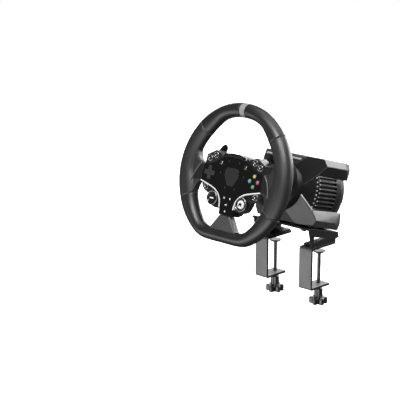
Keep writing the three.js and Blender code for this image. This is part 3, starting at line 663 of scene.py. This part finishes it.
RIM_RADIUS = span("rim_center_band")[1].z
RIM_FLAT = -span("rim_bottom")[0].z
RIM_FLAT_INNER = 104
RIM_CORNER = 2.5
RIM_HALF_DEPTH = span("rim_bottom")[1].y
GRIP_HALF_DEPTH = span("rim_grip_right")[1].y
RIM_INNER = ((0, 112), (24, 112), (36, 106.5), (48, 103), (74, 102), (92, 100), (107, 95.5), (122, 101),
             (140, 108), (152, 112.5), (180, 113))
BAND_ANGLE = 3
UPPER_SEAM = 48
LOWER_SEAM = 118
SEAM_GAP = 0.12
RIM_SIDES = 48
END_ROUND = 1.3


def inner_radius(turn):
    """Inside radius at an angle from the top, on a smooth curve through the table."""
    i = next(k for k in range(len(RIM_INNER) - 1) if turn <= RIM_INNER[k + 1][0])
    (a0, r0), (a1, r1) = RIM_INNER[i], RIM_INNER[i + 1]
    before = RIM_INNER[max(i - 1, 0)]
    after = RIM_INNER[min(i + 2, len(RIM_INNER) - 1)]
    slope0 = 0 if i == 0 else (r1 - before[1]) / (a1 - before[0])
    slope1 = 0 if i + 2 >= len(RIM_INNER) else (after[1] - r0) / (after[0] - a0)
    width = a1 - a0
    return cubic(r0, slope0 * width, r1, slope1 * width, (turn - a0) / width)


def flattened(radius, flat, angle):
    """A radius cut off by the flat at the rim's foot, with a soft corner between them."""
    down = -cos(radians(angle))
    if down < 0.5:
        return radius
    return -RIM_CORNER * log(exp(-radius / RIM_CORNER) + exp(-flat / down / RIM_CORNER))


def smoothstep(value, low, high):
    t = min(1, max(0, (value - low) / (high - low)))
    return t * t * (3 - 2 * t)


def rim_section(angle):
    """Inside radius, outside radius and half depth of the rim at an angle from the top."""
    turn = 360 - abs(angle) if abs(angle) > 180 else abs(angle)
    rise = smoothstep(turn, 30, 50) - smoothstep(turn, 110, 135)
    depth = RIM_HALF_DEPTH + (GRIP_HALF_DEPTH - RIM_HALF_DEPTH) * rise
    return flattened(inner_radius(turn), RIM_FLAT_INNER, turn), flattened(RIM_RADIUS, RIM_FLAT, turn), depth


def rim_place(angle, around, inset=0.0):
    """A point of the rim's surface: angle from the top, and angle round the tube from its outside."""
    inner, outer, depth = rim_section(angle)
    reach = (outer - inner) / 2 - inset
    radius = (inner + outer) / 2 + reach * cos(around)
    turn = radians(angle)
    return (radius * sin(turn), -(depth - inset) * sin(around), radius * cos(turn))


def rim_mesh(start, end, step=1.5):
    """The rim's tube from one angle to another, with its ends rounded."""
    per_degree = radians(1) * (RIM_RADIUS + inner_radius(90)) / 2
    count = max(2, round((end - start) / step))
    stations = []
    for k in range(4):
        phase = radians(30 * k)
        stations.append((END_ROUND * (1 - cos(phase)) / per_degree, END_ROUND * (1 - sin(phase))))
    rows = [(start + shift, inset) for shift, inset in stations]
    first, last = start + stations[-1][0], end - stations[-1][0]
    rows += [(first + (last - first) * i / count, 0) for i in range(1, count)]
    rows += [(end - shift, inset) for shift, inset in reversed(stations)]
    bm = bmesh.new()
    rings = [[bm.verts.new(rim_place(angle, 2 * pi * i / RIM_SIDES, inset)) for i in range(RIM_SIDES)]
             for angle, inset in rows]
    for one, two in zip(rings, rings[1:]):
        for i in range(RIM_SIDES):
            k = (i + 1) % RIM_SIDES
            bm.faces.new((one[i], one[k], two[k], two[i]))
    bm.faces.new(rings[0])
    bm.faces.new(list(reversed(rings[-1])))
    return mesh_of(bm)


FLARE_DEPTH = (-7.6, 8.6)
FLARE_OUTSIDE = 116
FLARE_FOOT = -46
VOXEL = 1.1


def flare_mesh(sign):
    """The web that runs from the hub's side into the grip."""
    hub_side = span("hub_front_panel")[1].x + 0.4
    upper = bend((hub_side, 12), (95, 12), (99, 34), 8)
    lower = bend((93, FLARE_FOOT), (89, -20), (hub_side, -20), 8)
    half = upper + [(FLARE_OUTSIDE, 36), (FLARE_OUTSIDE, FLARE_FOOT)] + lower
    return plate([[(sign * x, z) for x, z in half]], *FLARE_DEPTH, bevel=2.0, segments=4)


FLARE_EDGE = ((81, -8.2, 13), (86.5, -8.2, 6.5), (90.6, -8.4, 0), (94, -8.9, -8), (96.6, -9.5, -15),
              (98.6, -10.1, -22), (99.8, -10.6, -28))
FLARE_EDGE_RADIUS = 1.6
FLARE_COVER = ((77.8, 12.6), (81, 12.6), (86, 6.5), (90, 0), (93.4, -8), (95.8, -15), (96.6, -19.6),
               (77.8, -19.6))
FLARE_COVER_DEPTH = (FLARE_DEPTH[0] - 1.0, FLARE_DEPTH[0] + 0.6)


def build_flare_cover(side, sign):
    """The smooth black moulding between the hub and the leather, with a rolled edge whose lighter colour is a
    painted highlight.
    """
    cover = plate([[(sign * x, z) for x, z in FLARE_COVER]], *FLARE_COVER_DEPTH)
    piece(f"flare_cover_{side}", cover, "hub_plastic", "hub_housing")
    path = [(sign * x, y, z) for x, y, z in FLARE_EDGE]
    edge = tube(path, FLARE_EDGE_RADIUS, closed=False, sides=5)
    piece(f"flare_edge_{side}", edge, "flare_bevel", "hub_housing")


def melted(mesh, voxel, smoothing):
    """Overlapping solids of one mesh turned into a single skin with soft joins."""
    holder = placed("melt", mesh)
    remesh = holder.modifiers.new("remesh", "REMESH")
    remesh.mode = "VOXEL"
    remesh.voxel_size = voxel
    smooth = holder.modifiers.new("smooth", "SMOOTH")
    smooth.factor = 0.5
    smooth.iterations = smoothing
    result = evaluated(holder)
    bpy.data.meshes.remove(mesh)
    return result


SEAM_STEPS = 64
SEAM_RADIUS = 0.55
SEAM_DEPTH = 0.35
SPOKE_FLANK = 0.75


def build_seam(name, angle):
    """The thread in the joint between two leathers."""
    path = [rim_place(angle, 2 * pi * i / SEAM_STEPS, SEAM_DEPTH) for i in range(SEAM_STEPS)]
    piece(name, tube(path, SEAM_RADIUS), "thread", "rim_bottom", weighted=False)


def wrap(node, mesh, look="rim_leather", smooth=40):
    instead(node, "leather", mesh, look, smooth=smooth, weighted=False)


def build_rim():
    wrap("rim_center_band", rim_mesh(SEAM_GAP - BAND_ANGLE, BAND_ANGLE - SEAM_GAP, 0.8), "band_leather")
    for side, sign in SIDES.items():
        ends = sorted((sign * (BAND_ANGLE + SEAM_GAP), sign * (UPPER_SEAM - SEAM_GAP)))
        wrap(f"rim_top_{side}", rim_mesh(*ends))
        ends = sorted((sign * (UPPER_SEAM + SEAM_GAP), sign * (LOWER_SEAM - SEAM_GAP)))
        voxel = VOXEL
        grip = melted(merged(rim_mesh(*ends), flare_mesh(sign)), voxel, 10)
        wrap(f"rim_grip_{side}", grip, "grip_leather", 80)
        build_flare_cover(side, sign)
        build_seam(f"rim_seam_upper_{side}", sign * UPPER_SEAM)
        build_seam(f"rim_seam_lower_{side}", sign * LOWER_SEAM)
    wrap("rim_bottom", rim_mesh(LOWER_SEAM + SEAM_GAP, 360 - LOWER_SEAM - SEAM_GAP))
    spoke = softened("bottom_spoke_cover", "moulding", "satin_plastic", 0.6)
    paint(spoke, "hub_plastic", lambda face: abs(face.normal.x) > SPOKE_FLANK)


# --- Hub ---


def from_front(node, bevel, fillet=0.6, segments=3):
    """A flat CAD node rebuilt from its front outlines with smooth curves and round edges."""
    low, high = span(node)
    return plate(front_loops(node, fillet), low.y, high.y, bevel, segments)


def dome(place, radius, front, rear, rise):
    """A button cap with a domed face."""
    profile = [(0, front)]
    for k in range(1, 7):
        angle = radians(15 * k)
        profile.append((radius * sin(angle), front + rise * (1 - cos(angle))))
    profile += [(radius, rear), (0, rear)]
    return turned(profile, place, 40, fillet=0.2)


def bezel(place, inner, outer, front, rear):
    """A ring with a rounded front edge."""
    thick = outer - inner
    return turned([(inner, rear), (inner, front + thick * 0.5), (inner + thick * 0.5, front),
                   (outer, front + thick * 0.6), (outer, rear)], place, 56, fillet=0.35, closed=True)


CAP_COLOURS = {
    "menu_button_left": "cap_silver",
    "menu_button_right": "cap_silver",
    "face_button_top": "cap_yellow",
    "face_button_right": "cap_red",
    "face_button_bottom": "cap_green",
    "face_button_left": "cap_teal",
}
STEM_MARKS = {
    "stem_button_left": box_loop((0, 0), 1.3, 1.3),
    "stem_button_right": box_loop((0, 0), 1.3, 1.3),
    "stem_button_middle": box_loop((0, 0), 2.5, 0.75),
    "stem_button_lower": ((-1.9, -1.2), (1.9, -1.2), (0, 1.9)),
}
HOUSE = ((-3.77, -3.48), (-1.015, -3.48), (-1.015, -0.87), (1.015, -0.87), (1.015, -3.48), (3.77, -3.48),
         (3.77, 0.87), (0, 4.35), (-3.77, 0.87))
PANEL_FRONT = span("hub_front_panel")[0].y
PANEL_SCREWS = ((13, 25.6), (30, 1.6), (12, -24.5))
BUTTON_LIP = 1.6
D_PAD_SLACK = 0.98
LAMPS_EACH_SIDE = 4
LAMP_HALF = (1.8, 0.9)
LAMP_ARCH = 0.0042


def printed_mark(node, loop, front):
    """A printed mark, as a thin raised shape."""
    look = "button_black" if node == "home_button" else "trim_white"
    piece(f"{node}_mark", plate([loop], front - 0.35, front, 0.08, 1), look, node)


def build_panel():
    instead("hub_front_panel", "plate", from_front("hub_front_panel", 0.4), "panel_gloss")
    instead("badge_plate", "shield", from_front("badge_plate", 0.3, 2.0), "badge_plastic")
    instead("rev_light_bar", "lens", from_front("rev_light_bar", 0.8, 1.5), "bar_gloss")
    cross = from_front("d_pad", 0.7, 1.2)
    pivot = Matrix.Translation(middle("d_pad"))
    cross.transform(pivot @ Matrix.Diagonal((D_PAD_SLACK, 1, D_PAD_SLACK, 1)) @ pivot.inverted())
    instead("d_pad", "cross", cross, "pad_plastic")
    for side in SIDES:
        instead(f"hub_trim_{side}", "strip", from_front(f"hub_trim_{side}", 0.35, 0.5), "trim_white")
    for node, look in CAP_COLOURS.items():
        place, radius, front, rear = round_node(node)
        cap = radius - BUTTON_LIP
        instead(node, "cap", dome(place, cap, front, rear, 1.6), look)
        ring = bezel(place, cap + 0.25, radius + 0.1, PANEL_FRONT - 0.7, PANEL_FRONT + 1)
        piece(f"{node}_ring", ring, "button_black", "hub_front_panel")
    for node, mark in STEM_MARKS.items():
        place, radius, front, rear = round_node(node)
        instead(node, "cap", dome(place, radius - BUTTON_LIP, front, rear, 0.7), "button_black")
        printed_mark(node, moved(mark, place), front + 0.25)
    for i, (x, z) in enumerate(PANEL_SCREWS):
        for side, sign in SIDES.items():
            profile = [(0, 0.05), (0.5, 0), (1.0, -0.3), (1.5, -0.15), (1.6, 0.3)]
            screw = turned([(reach, PANEL_FRONT + depth) for reach, depth in profile], (sign * x, z), 24,
                           fillet=0.1)
            piece(f"panel_screw_{side}_{i}", screw, "lamp", "hub_front_panel")
    build_rev_lamps()


def build_rev_lamps():
    """A row of small lamps that follows the bar's arched top."""
    low, high = span("rev_light_bar")
    wide, tall = LAMP_HALF
    pitch = (high.x - 6) / (LAMPS_EACH_SIDE + 0.6)
    lamps = []
    for i in range(-LAMPS_EACH_SIDE, LAMPS_EACH_SIDE + 1):
        x = i * pitch
        z = high.z - 3.4 - LAMP_ARCH * x * x
        lamps.append(block((x - wide, low.y - 0.25, z - tall), (x + wide, low.y + 0.4, z + tall), 0.2, 2))
    piece("rev_lamps", merged(*lamps), "lamp", "rev_light_bar")


def build_housing():
    softened("hub_housing", "shell", "hub_plastic", 0.45)
    for side in SIDES:
        instead(f"knob_pod_{side}", "shell", from_front(f"knob_pod_{side}", 1.0, 1.5), "hub_plastic")
        build_round_button(f"ear_button_inner_{side}", side, 1.6)
        build_round_button(f"ear_button_outer_{side}", side, 1.6)
        build_round_button(f"pod_button_{side}", side, 1.7)


def build_round_button(node, side, ring_width):
    """A black push button with a bright ring round it and a small white glowing spot, a painted highlight."""
    place, radius, front, rear = round_node(node)
    instead(node, "cap", dome(place, radius, front, rear, 1.3), "button_black")
    ring = bezel(place, radius + 0.3, radius + ring_width, front + 1.1, front + 2.8)
    piece(f"{node}_ring", ring, "chrome", f"hub_trim_{side}")
    # The spot is a painted highlight on the dark cap.
    spot = turned([(0, front - 0.05), (1.3, front + 0.05), (1.6, front + 0.6)], place, 24, fillet=0.1)
    piece(f"{node}_light", spot, "cap_white", node)


RIDGES = 28


def build_knobs():
    """A ribbed dial on the left and a ribbed ring round the home button on the right."""
    left, radius, front, _ = round_node("knob_left")
    right = round_node("knob_right")[0]
    foot = span("knob_pod_left")[0].y - 0.3
    _, cap, cap_front, cap_rear = round_node("home_button")
    bore = cap + 0.3
    ribs = flutes(RIDGES, 0.55, radius - 0.6, front + 1.2, foot - 1.6)
    skirt = [(radius, foot - 1.5), (radius - 0.7, foot)]
    dial = turned([(0, front + 0.9), (radius - 4.6, front + 0.9), (radius - 3.6, front),
                   (radius - 1.4, front), (radius, front + 1.5), *skirt, (0, foot)], left, RIDGES * 8,
                  ripple=ribs)
    ring = turned([(bore, foot), (bore, front + 1.4), (bore + 1.6, front), (radius - 1.6, front),
                   (radius, front + 1.6), *skirt], right, RIDGES * 8, closed=True, ripple=ribs)
    instead("knob_left", "dial", dial, "button_black")
    instead("knob_right", "ring", ring, "button_black")
    instead("home_button", "cap", dome(right, cap, cap_front, cap_rear, 1.8), "cap_white")
    printed_mark("knob_left", rounded(box_loop(left, 4.6, 1.2), 0.5), front + 0.9)
    printed_mark("home_button", moved(HOUSE, right), cap_front + 0.25)
    for node, place in (("knob_left", left), ("knob_right", right)):
        ring = bezel(place, radius - 1.5, radius + 0.05, front - 0.1, front + 1.6)
        piece(f"{node}_ring", ring, "chrome", node)


def build_paddles():
    for side in SIDES:
        softened(f"paddle_{side}", "blade", "paddle_black", 0.5)


DRUM_FRONT = 38
BOSS_RADIUS = 26
BOSS_REAR = 9
NECK_RADIUS = 20
SOCKET_RADIUS = 21.3
SOCKET_FLOOR = 60
COLLAR_FLUTES = 48


def build_adapter():
    """The drum behind the wheel, with a groove round it, and the fluted release collar on it."""
    _, drum, front, rear = round_node("wheel_adapter")
    groove = DRUM_FRONT + 6
    profile = [(0, front), (BOSS_RADIUS, front), (BOSS_RADIUS, BOSS_REAR), (NECK_RADIUS, BOSS_REAR),
               (NECK_RADIUS, DRUM_FRONT), (drum - 2, DRUM_FRONT), (drum, DRUM_FRONT + 2), (drum, groove),
               (drum - 1, groove + 1), (drum - 1, groove + 3), (drum, groove + 4), (drum, rear - 1.5),
               (drum - 1.5, rear), (SOCKET_RADIUS, rear), (SOCKET_RADIUS, SOCKET_FLOOR), (0, SOCKET_FLOOR)]
    instead("wheel_adapter", "drum", turned(profile, (0, 0), 96, fillet=0.5), "black_metal")

    _, outer, front, rear = round_node("release_collar")
    levels = [front + 2 + (rear - front - 4) * k / 12 for k in range(13)]
    profile = ([(drum + 0.3, front), (outer - 1.5, front)] + [(outer, level) for level in levels]
               + [(outer - 1.5, rear), (drum + 0.3, rear)])
    collar = turned(profile, (0, 0), COLLAR_FLUTES * 6, closed=True,
                    ripple=flutes(COLLAR_FLUTES, 0.6, outer - 1, front + 3, rear - 3))
    instead("release_collar", "ring", collar, "black_metal")


# --- Motor base ---

BARREL_RADIUS = 82
BARREL_LEVEL = -7
BARREL_INSET = span("motor_housing")[1].x - BARREL_RADIUS
FIN_PITCH = 8.2
FIN_COUNT = 8
FIN_TOP = 22
FIN_SPAN = (166, 222)
VENT_PITCH = 9
VENT_REACH = 48
VENT_COUNT = 5
VENT_LIP = ((143.5, 60.7), (122.5, 42.0))
VENT_ROWS = ((-3.9, 0.0, "vent_rear"), (-11.5, VENT_PITCH / 2, "vent_front"))
VENT_OUTLINES = ((3.7, 2.1), (2.5, 1.1))


def barrel_edge(level):
    """How far the finned barrel reaches sideways at a height."""
    return BARREL_INSET + sqrt(BARREL_RADIUS ** 2 - (level - BARREL_LEVEL) ** 2)


def drop(place, radii, lean=0.0):
    """A smooth drop-shaped stud, flatter at its back, leaning in the plane of the barrel's side."""
    bm = bmesh.new()
    bmesh.ops.create_uvsphere(bm, u_segments=20, v_segments=12, radius=1)
    for v in bm.verts:
        v.co.y *= 1 + 0.25 * v.co.z
    turn = Matrix.Rotation(lean, 4, "X")
    bm.transform(Matrix.Translation(place) @ turn @ Matrix.Diagonal((*radii, 1)))
    return mesh_of(bm)


def build_fins():
    """The studs at the fins' front ends, bright glowing metal that stands for highlights on the fins' curled
    ends, and the worn edges that run along the fins.
    """
    front, rear = FIN_SPAN
    for side, sign in SIDES.items():
        studs = []
        edges = []
        for i in range(FIN_COUNT):
            groove = FIN_TOP - FIN_PITCH * i
            fin = groove - FIN_PITCH / 2
            tall = 2.0 if i < FIN_COUNT - 2 else 1.7
            place = (sign * (barrel_edge(groove) - 1.2), front - 6.5, groove)
            studs.append(drop(place, (1.3, 1.6, tall), 0.2))
            studs.append(drop((sign * (barrel_edge(fin) - 0.2), front + 1.5, fin), (0.9, 1.8, 1.2), -0.2))
            reach = barrel_edge(fin) - 0.55
            path = [(sign * reach, front + 6 + (rear - front - 7) * k / 6, fin) for k in range(7)]
            edges.append(tube(path, 0.8, closed=False))
        studs.append(drop((sign * (barrel_edge(FIN_TOP + 6) - 0.6), front + 1.5, FIN_TOP + 4.5),
                          (1.2, 1.5, 4.2), 0.35))
        piece(f"fin_studs_{side}", merged(*studs), "rib_metal", "motor_housing")
        piece(f"fin_edges_{side}", merged(*edges), "fin_edge", "motor_housing")


def build_vents():
    """Two rows of oval vents with raised lips on the sloped front of the upper shell; the lips are lighter
    than the shell, a painted highlight, and the front row's are brighter still and glow.
    """
    top, foot = (Vector((0, *end)) for end in VENT_LIP)
    along = (top - foot).normalized()
    normal = ACROSS.cross(along)
    stand = Matrix.Translation(top) @ Matrix((ACROSS, along, normal)).transposed().to_4x4()
    for row, (depth, shift, look) in enumerate(VENT_ROWS):
        lips = []
        holes = []
        for i in range(-VENT_COUNT, VENT_COUNT + 1):
            x = i * VENT_PITCH + shift
            if abs(x) > VENT_REACH + depth / 2:
                continue
            lip, hole = (rounded(box_loop((x, depth), half, high, 0.5), high * 0.95)
                         for half, high in VENT_OUTLINES)
            lips.append(plate([lip, hole], -0.6, 1.0, 0.3, 2, upright=True))
            # The holes are black sheets, painted shade for the dark inside of the vents.
            holes.append(plate([hole], -0.6, 0.12, 0.05, 1, upright=True))
        for mesh in lips + holes:
            mesh.transform(stand)
        piece(f"vent_lips_{row}", merged(*lips), look, "upper_shell")
        piece(f"vent_holes_{row}", merged(*holes), "socket_black", "upper_shell")


UPPER_CREASE = ((57, 139.6, 4), (72, 162.3, 29), (80, 175, 47.4), (74, 168.5, 60.4))
LOWER_CREASE = ((57, 139.6, -14.5), (72, 163.4, -41), (80, 171.8, -60.2))
UPPER_SEAM_LINE = ((80, 175, 47), (80, 208, 46.4), (80, 240.6, 45.8))
LOWER_SEAM_LINE = ((80, 172.2, -60.8), (80, 202, -61.3), (80, 231.6, -61.8))
# The creases' light looks are painted highlights along the shells' edges.
CREASES = (
    ("upper_shell", "crease", UPPER_CREASE, 0.55, "crease_soft"),
    ("lower_shell", "crease", LOWER_CREASE[:2], 1.15, "crease_bright"),
    ("lower_shell", "edge", LOWER_CREASE[1:], 0.7, "crease_soft"),
    ("upper_shell", "groove", UPPER_SEAM_LINE, 0.6, "socket_black"),
    ("lower_shell", "groove", LOWER_SEAM_LINE, 0.6, "socket_black"),
)


def build_creases():
    """Bright lines along the shells' creases, which are painted highlights, and the dark grooves under their
    ridges.
    """
    for side, sign in SIDES.items():
        for node, word, line, radius, look in CREASES:
            inset = radius * 0.6
            path = [(sign * (x - inset), y + inset * 0.3, z) for x, y, z in line]
            piece(f"{node}_{word}_{side}", tube(path, radius, closed=False, sides=4), look, node)


RECESS_FLOOR = 243.0
RECESS_MIDDLE = -32
POWER_PLACE = (-34, RECESS_MIDDLE)
DATA_SOCKETS = (("data", -13, 6.2, 5.6), ("pedals", 9, 7, 5.4), ("shifter", 31, 7, 5.4))
COVER_REAR = span("rear_cover")[1].y
COVER_SCREWS = ((60, 28), (58, -46))
COVER_SCREW_RADIUS = 3.4


def build_sockets():
    """The sockets for power and data, in the recess of the rear cover."""
    floor = RECESS_FLOOR
    barrel = turned([(2.9, floor), (2.9, floor + 5), (5.6, floor + 5.4), (6.2, floor)], POWER_PLACE, 48,
                    closed=True)
    pin = turned([(0, floor), (1.1, floor), (1.1, floor + 3.6), (0, floor + 4.4)], POWER_PLACE, 24)
    piece("socket_power", barrel, "socket_black", "rear_cover")
    piece("socket_power_pin", pin, "bare_steel", "rear_cover")
    for name, x, wide, high in DATA_SOCKETS:
        outer = rounded(box_loop((x, RECESS_MIDDLE), wide, high), 1.0)
        inner = rounded(box_loop((x, RECESS_MIDDLE), wide - 1.4, high - 1.4), 0.8)
        shell = plate([outer, inner], floor, floor + 5, 0.25, 2)
        tongue = block((x - wide + 3, floor, RECESS_MIDDLE - 1.3),
                       (x + wide - 3, floor + 3.6, RECESS_MIDDLE + 1.3), 0.3, 2)
        piece(f"socket_{name}", shell, "bare_steel", "rear_cover")
        piece(f"socket_{name}_tongue", tongue, "socket_black", "rear_cover")


def build_cover_screw(word, x, z):
    """A pan-head screw with a cross recess, facing the rear."""
    top = COVER_REAR + 1.2
    radius = COVER_SCREW_RADIUS
    head = turned([(0, top - 0.5), (radius * 0.55, top), (radius * 0.9, top - 0.6), (radius, top - 1.6),
                   (0, top - 1.6)], (x, z), 40, fillet=0.3)
    bars = [block((x - a, top - 0.3, z - b), (x + a, top + 0.05, z + b), 0.05, 1)
            for a, b in ((radius / 2, 0.35), (0.35, radius / 2))]
    piece(f"cover_screw_{word}", head, "black_metal", "rear_cover")
    piece(f"cover_screw_slot_{word}", merged(*bars), "socket_black", "rear_cover")


def build_power_button():
    """The round power button, with its printed arc and stroke and a ring round it."""
    (x, z), radius, front, rear = round_node("power_button")
    cap = turned([(0, front), (radius, front), (radius, rear - 0.9), (radius - 1.6, rear - 0.1),
                  (0, rear - 0.5)], (x, z), 48)
    instead("power_button", "cap", cap, "button_black")
    level = rear - 0.25
    arc = [(x + 2.4 * sin(turn), level, z + 2.4 * cos(turn))
           for turn in [radians(40 + 10 * k) for k in range(29)]]
    stroke = [(x, level, z + up) for up in (0.6, 1.8, 3.0)]
    mark = merged(tube(arc, 0.3, closed=False), tube(stroke, 0.3, closed=False))
    piece("power_button_mark", mark, "trim_white", "power_button")
    ring = bezel((x, z), radius + 0.3, radius + 1.6, COVER_REAR - 0.6, COVER_REAR + 0.4)
    piece("power_button_ring", ring, "black_metal", "rear_cover")


def build_rear():
    for side, sign in SIDES.items():
        for row, (x, z) in enumerate(COVER_SCREWS):
            build_cover_screw(f"{side}_{row}", sign * x, z)
    build_power_button()


def build_base():
    softened("motor_housing", "casting", "cast_metal", 0.5, 2)
    softened("upper_shell", "moulding", "shell_plastic", 0.9)
    # The lower shell's lighter plastic is painted light.
    softened("lower_shell", "moulding", "lower_plastic", 0.9)
    softened("rear_cover", "moulding", "cover_plastic", 0.8)
    build_fins()
    build_vents()
    build_creases()
    build_sockets()
    build_rear()


# --- Bracket and clamps ---

THREAD_PITCH = 1.5
THREAD_CORE = 3.62
THREAD_CREST = 3.8
THREAD_STEPS = 14
STAR_TOP = -108
COLLAR_TOP = -88
STAR_RADIUS = 17.3
STAR_LOBES = 6
STAR_DEPTH = 7.4


def star_loop(place):
    """The lobed outline of a star knob."""
    loop = []
    for i in range(STAR_LOBES * 16):
        angle = 2 * pi * i / (STAR_LOBES * 16)
        wave = 0.5 + 0.5 * cos(STAR_LOBES * angle + pi * 0.7)
        reach = STAR_RADIUS - STAR_DEPTH * (1 - wave) ** 1.3
        loop.append(around(place, reach, angle))
    return loop


def build_screw(side):
    """A clamp's threaded rod, with the star knob and its fluted collar at the foot."""
    node = f"clamp_screw_{side}"
    place, _, low, high = round_node(node, upright=True)
    rod = turned([(0, COLLAR_TOP - 1), (THREAD_CORE, COLLAR_TOP - 1), (THREAD_CORE, high - 0.5),
                  (THREAD_CORE - 0.6, high), (0, high)], place, 32, upright=True, fillet=0.2)
    turns = (high - 1 - COLLAR_TOP) / THREAD_PITCH
    steps = int(turns * THREAD_STEPS)
    path = []
    for i in range(steps + 1):
        angle = 2 * pi * turns * i / steps
        path.append((*around(place, THREAD_CORE, angle), COLLAR_TOP + THREAD_PITCH * turns * i / steps))
    thread = tube(path, THREAD_CREST - THREAD_CORE, closed=False, sides=1)
    foot = STAR_TOP - 1
    levels = [foot + (COLLAR_TOP - foot - 2) * k / 8 for k in range(9)]
    profile = [(0, foot)] + [(8.7, level) for level in levels] + [(7.6, COLLAR_TOP), (0, COLLAR_TOP)]
    collar = turned(profile, place, 72, upright=True, fillet=0.6,
                    ripple=flutes(STAR_LOBES, 1.0, 8, STAR_TOP + 1, COLLAR_TOP - 2, 2))
    star = plate([star_loop(place)], low, STAR_TOP, 1.2, 4, upright=True)
    hub = turned([(0, low), (6, low), (6, low + 1), (0, low + 1)], place, 40, upright=True)
    instead(node, "thread", merged(rod, thread), "screw_steel", space=TABLE)
    piece(f"clamp_knob_{side}", merged(collar, star, hub), "knob_steel", node, space=TABLE)


BOLT_PLACES = ((45, 182), (45, 236))
BOLT_RADIUS = 5.6
WASHER_RADIUS = 9
PLATE_UNDERSIDE = -81.3


def build_bolts():
    """The hexagon bolts and washers that hold the bracket under the motor base."""
    under = PLATE_UNDERSIDE
    for side, sign in SIDES.items():
        for row, (x, y) in enumerate(BOLT_PLACES):
            place = (sign * x, y)
            washer = turned([(0, under - 1.4), (WASHER_RADIUS, under - 1.4), (WASHER_RADIUS, under),
                             (0, under)], place, 48, upright=True)
            hexagon = rounded(circle(place, BOLT_RADIUS, 6), 0.6)
            head = plate([hexagon], under - 5.6, under - 1.3, 0.4, 2, upright=True)
            piece(f"bracket_bolt_{side}_{row}", merged(washer, head), "bare_steel", "mount_bracket")


SHADED_SIDE_FACING = 0.6


def build_clamps():
    build_bolts()
    softened("mount_bracket", "plate", "bracket_coat", 0.5, space=TABLE)
    for side in SIDES:
        node = f"clamp_frame_{side}"
        strip = softened(node, "strip", "powder_coat", 0.8, space=TABLE)
        # The strip's sideways faces get a darker look, a painted shade.
        paint(strip, "strip_edge", lambda face: abs(face.normal.x) > SHADED_SIDE_FACING)
        node = f"clamp_pad_{side}"
        place, disc, low, high = round_node(node, upright=True)
        shape = turned([(0, low), (5.8, low), (6.5, low + 0.7), (6.5, high - 3), (disc - 1, high - 3),
                        (disc, high - 2), (disc, high - 0.8), (disc - 0.8, high), (0, high)], place, 64,
                       upright=True)
        instead(node, "disc", shape, "screw_steel", space=TABLE)
        build_screw(side)


# --- Stage ---

CLAMP_DROP = joint("clamp_left_travel")["range_m"][0]
FLOOR_LEVEL = CAD_BOX[0].z + CLAMP_DROP - 0.001
FLOOR_RADIUS = 6
FLOOR_COLOUR = (0.95, 0.95, 0.95, 1)
LIT_PLACE = Vector((0, 0, 0.1))

# Direction that it shines from, distance, width and height in metres, power in watts
LIGHTS = {
    "key_light": ((-0.16, -0.91, -0.38), 1.8, 3.0, 0.96, 18),
    "fill_light": ((0.17, -0.66, 0.73), 1.8, 0.6, 0.6, 19),
    "top_light": ((0.1, 0.1, 1), 1.6, 1.6, 1.6, 10),
    "rear_wall": ((-0.5, 0.85, 0.0), 2.0, 2.4, 1.0, 26),
    "back_light": ((0.1, 0.9, 0.32), 1.8, 2.0, 0.6, 38),
    "side_light": ((0.6, 0.66, 0.45), 1.8, 1.0, 0.8, 12),
}


def floor_material():
    """A plain pale surface that stays even, because it gives a little light of its own."""
    made = bpy.data.materials.new("floor")
    made.use_nodes = True
    set_inputs(made.node_tree.nodes["Principled BSDF"], {
        "Base Color": FLOOR_COLOUR, "Roughness": 0.9, "Emission Color": FLOOR_COLOUR,
        "Emission Strength": 1.1})
    return made


def softbox(name, direction, distance, width, height, power):
    """A soft area light that faces the wheel from a direction."""
    data = bpy.data.lights.new(name, "AREA")
    data.shape = "RECTANGLE"
    data.size = width
    data.size_y = height
    data.energy = power
    aimed(placed(name, data), LIT_PLACE + Vector(direction).normalized() * distance, LIT_PLACE)


def build_floor():
    bm = bmesh.new()
    bmesh.ops.create_circle(bm, cap_ends=True, segments=96, radius=FLOOR_RADIUS)
    mesh = mesh_of(bm)
    mesh.materials.append(floor_material())
    floor = placed("floor", mesh)
    floor.location = (0, 0, FLOOR_LEVEL)
    floor.visible_glossy = False
    floor.visible_diffuse = False
    floor.visible_shadow = False


def build_world():
    """A white backdrop for the camera, and a dim surround for everything else."""
    world = bpy.data.worlds.new("studio")
    bpy.context.scene.world = world
    world.use_nodes = True
    nodes, links = world.node_tree.nodes, world.node_tree.links
    surround = nodes["Background"]
    backdrop = nodes.new("ShaderNodeBackground")
    for background, strength in ((surround, 0.1), (backdrop, 1.0)):
        set_inputs(background, {"Color": (1, 1, 1, 1), "Strength": strength})
    rays = nodes.new("ShaderNodeLightPath")
    mix = nodes.new("ShaderNodeMixShader")
    links.new(rays.outputs["Is Camera Ray"], mix.inputs[0])
    links.new(surround.outputs[0], mix.inputs[1])
    links.new(backdrop.outputs[0], mix.inputs[2])
    links.new(mix.outputs[0], nodes["World Output"].inputs["Surface"])


def build_stage():
    build_floor()
    build_world()
    for name, settings in LIGHTS.items():
        softbox(name, *settings)
    bpy.context.scene.view_settings.view_transform = "Standard"


build_camera()
build_rim()
build_panel()
build_housing()
build_knobs()
build_paddles()
build_adapter()
build_base()
build_clamps()
finish_kept_nodes()
build_stage()
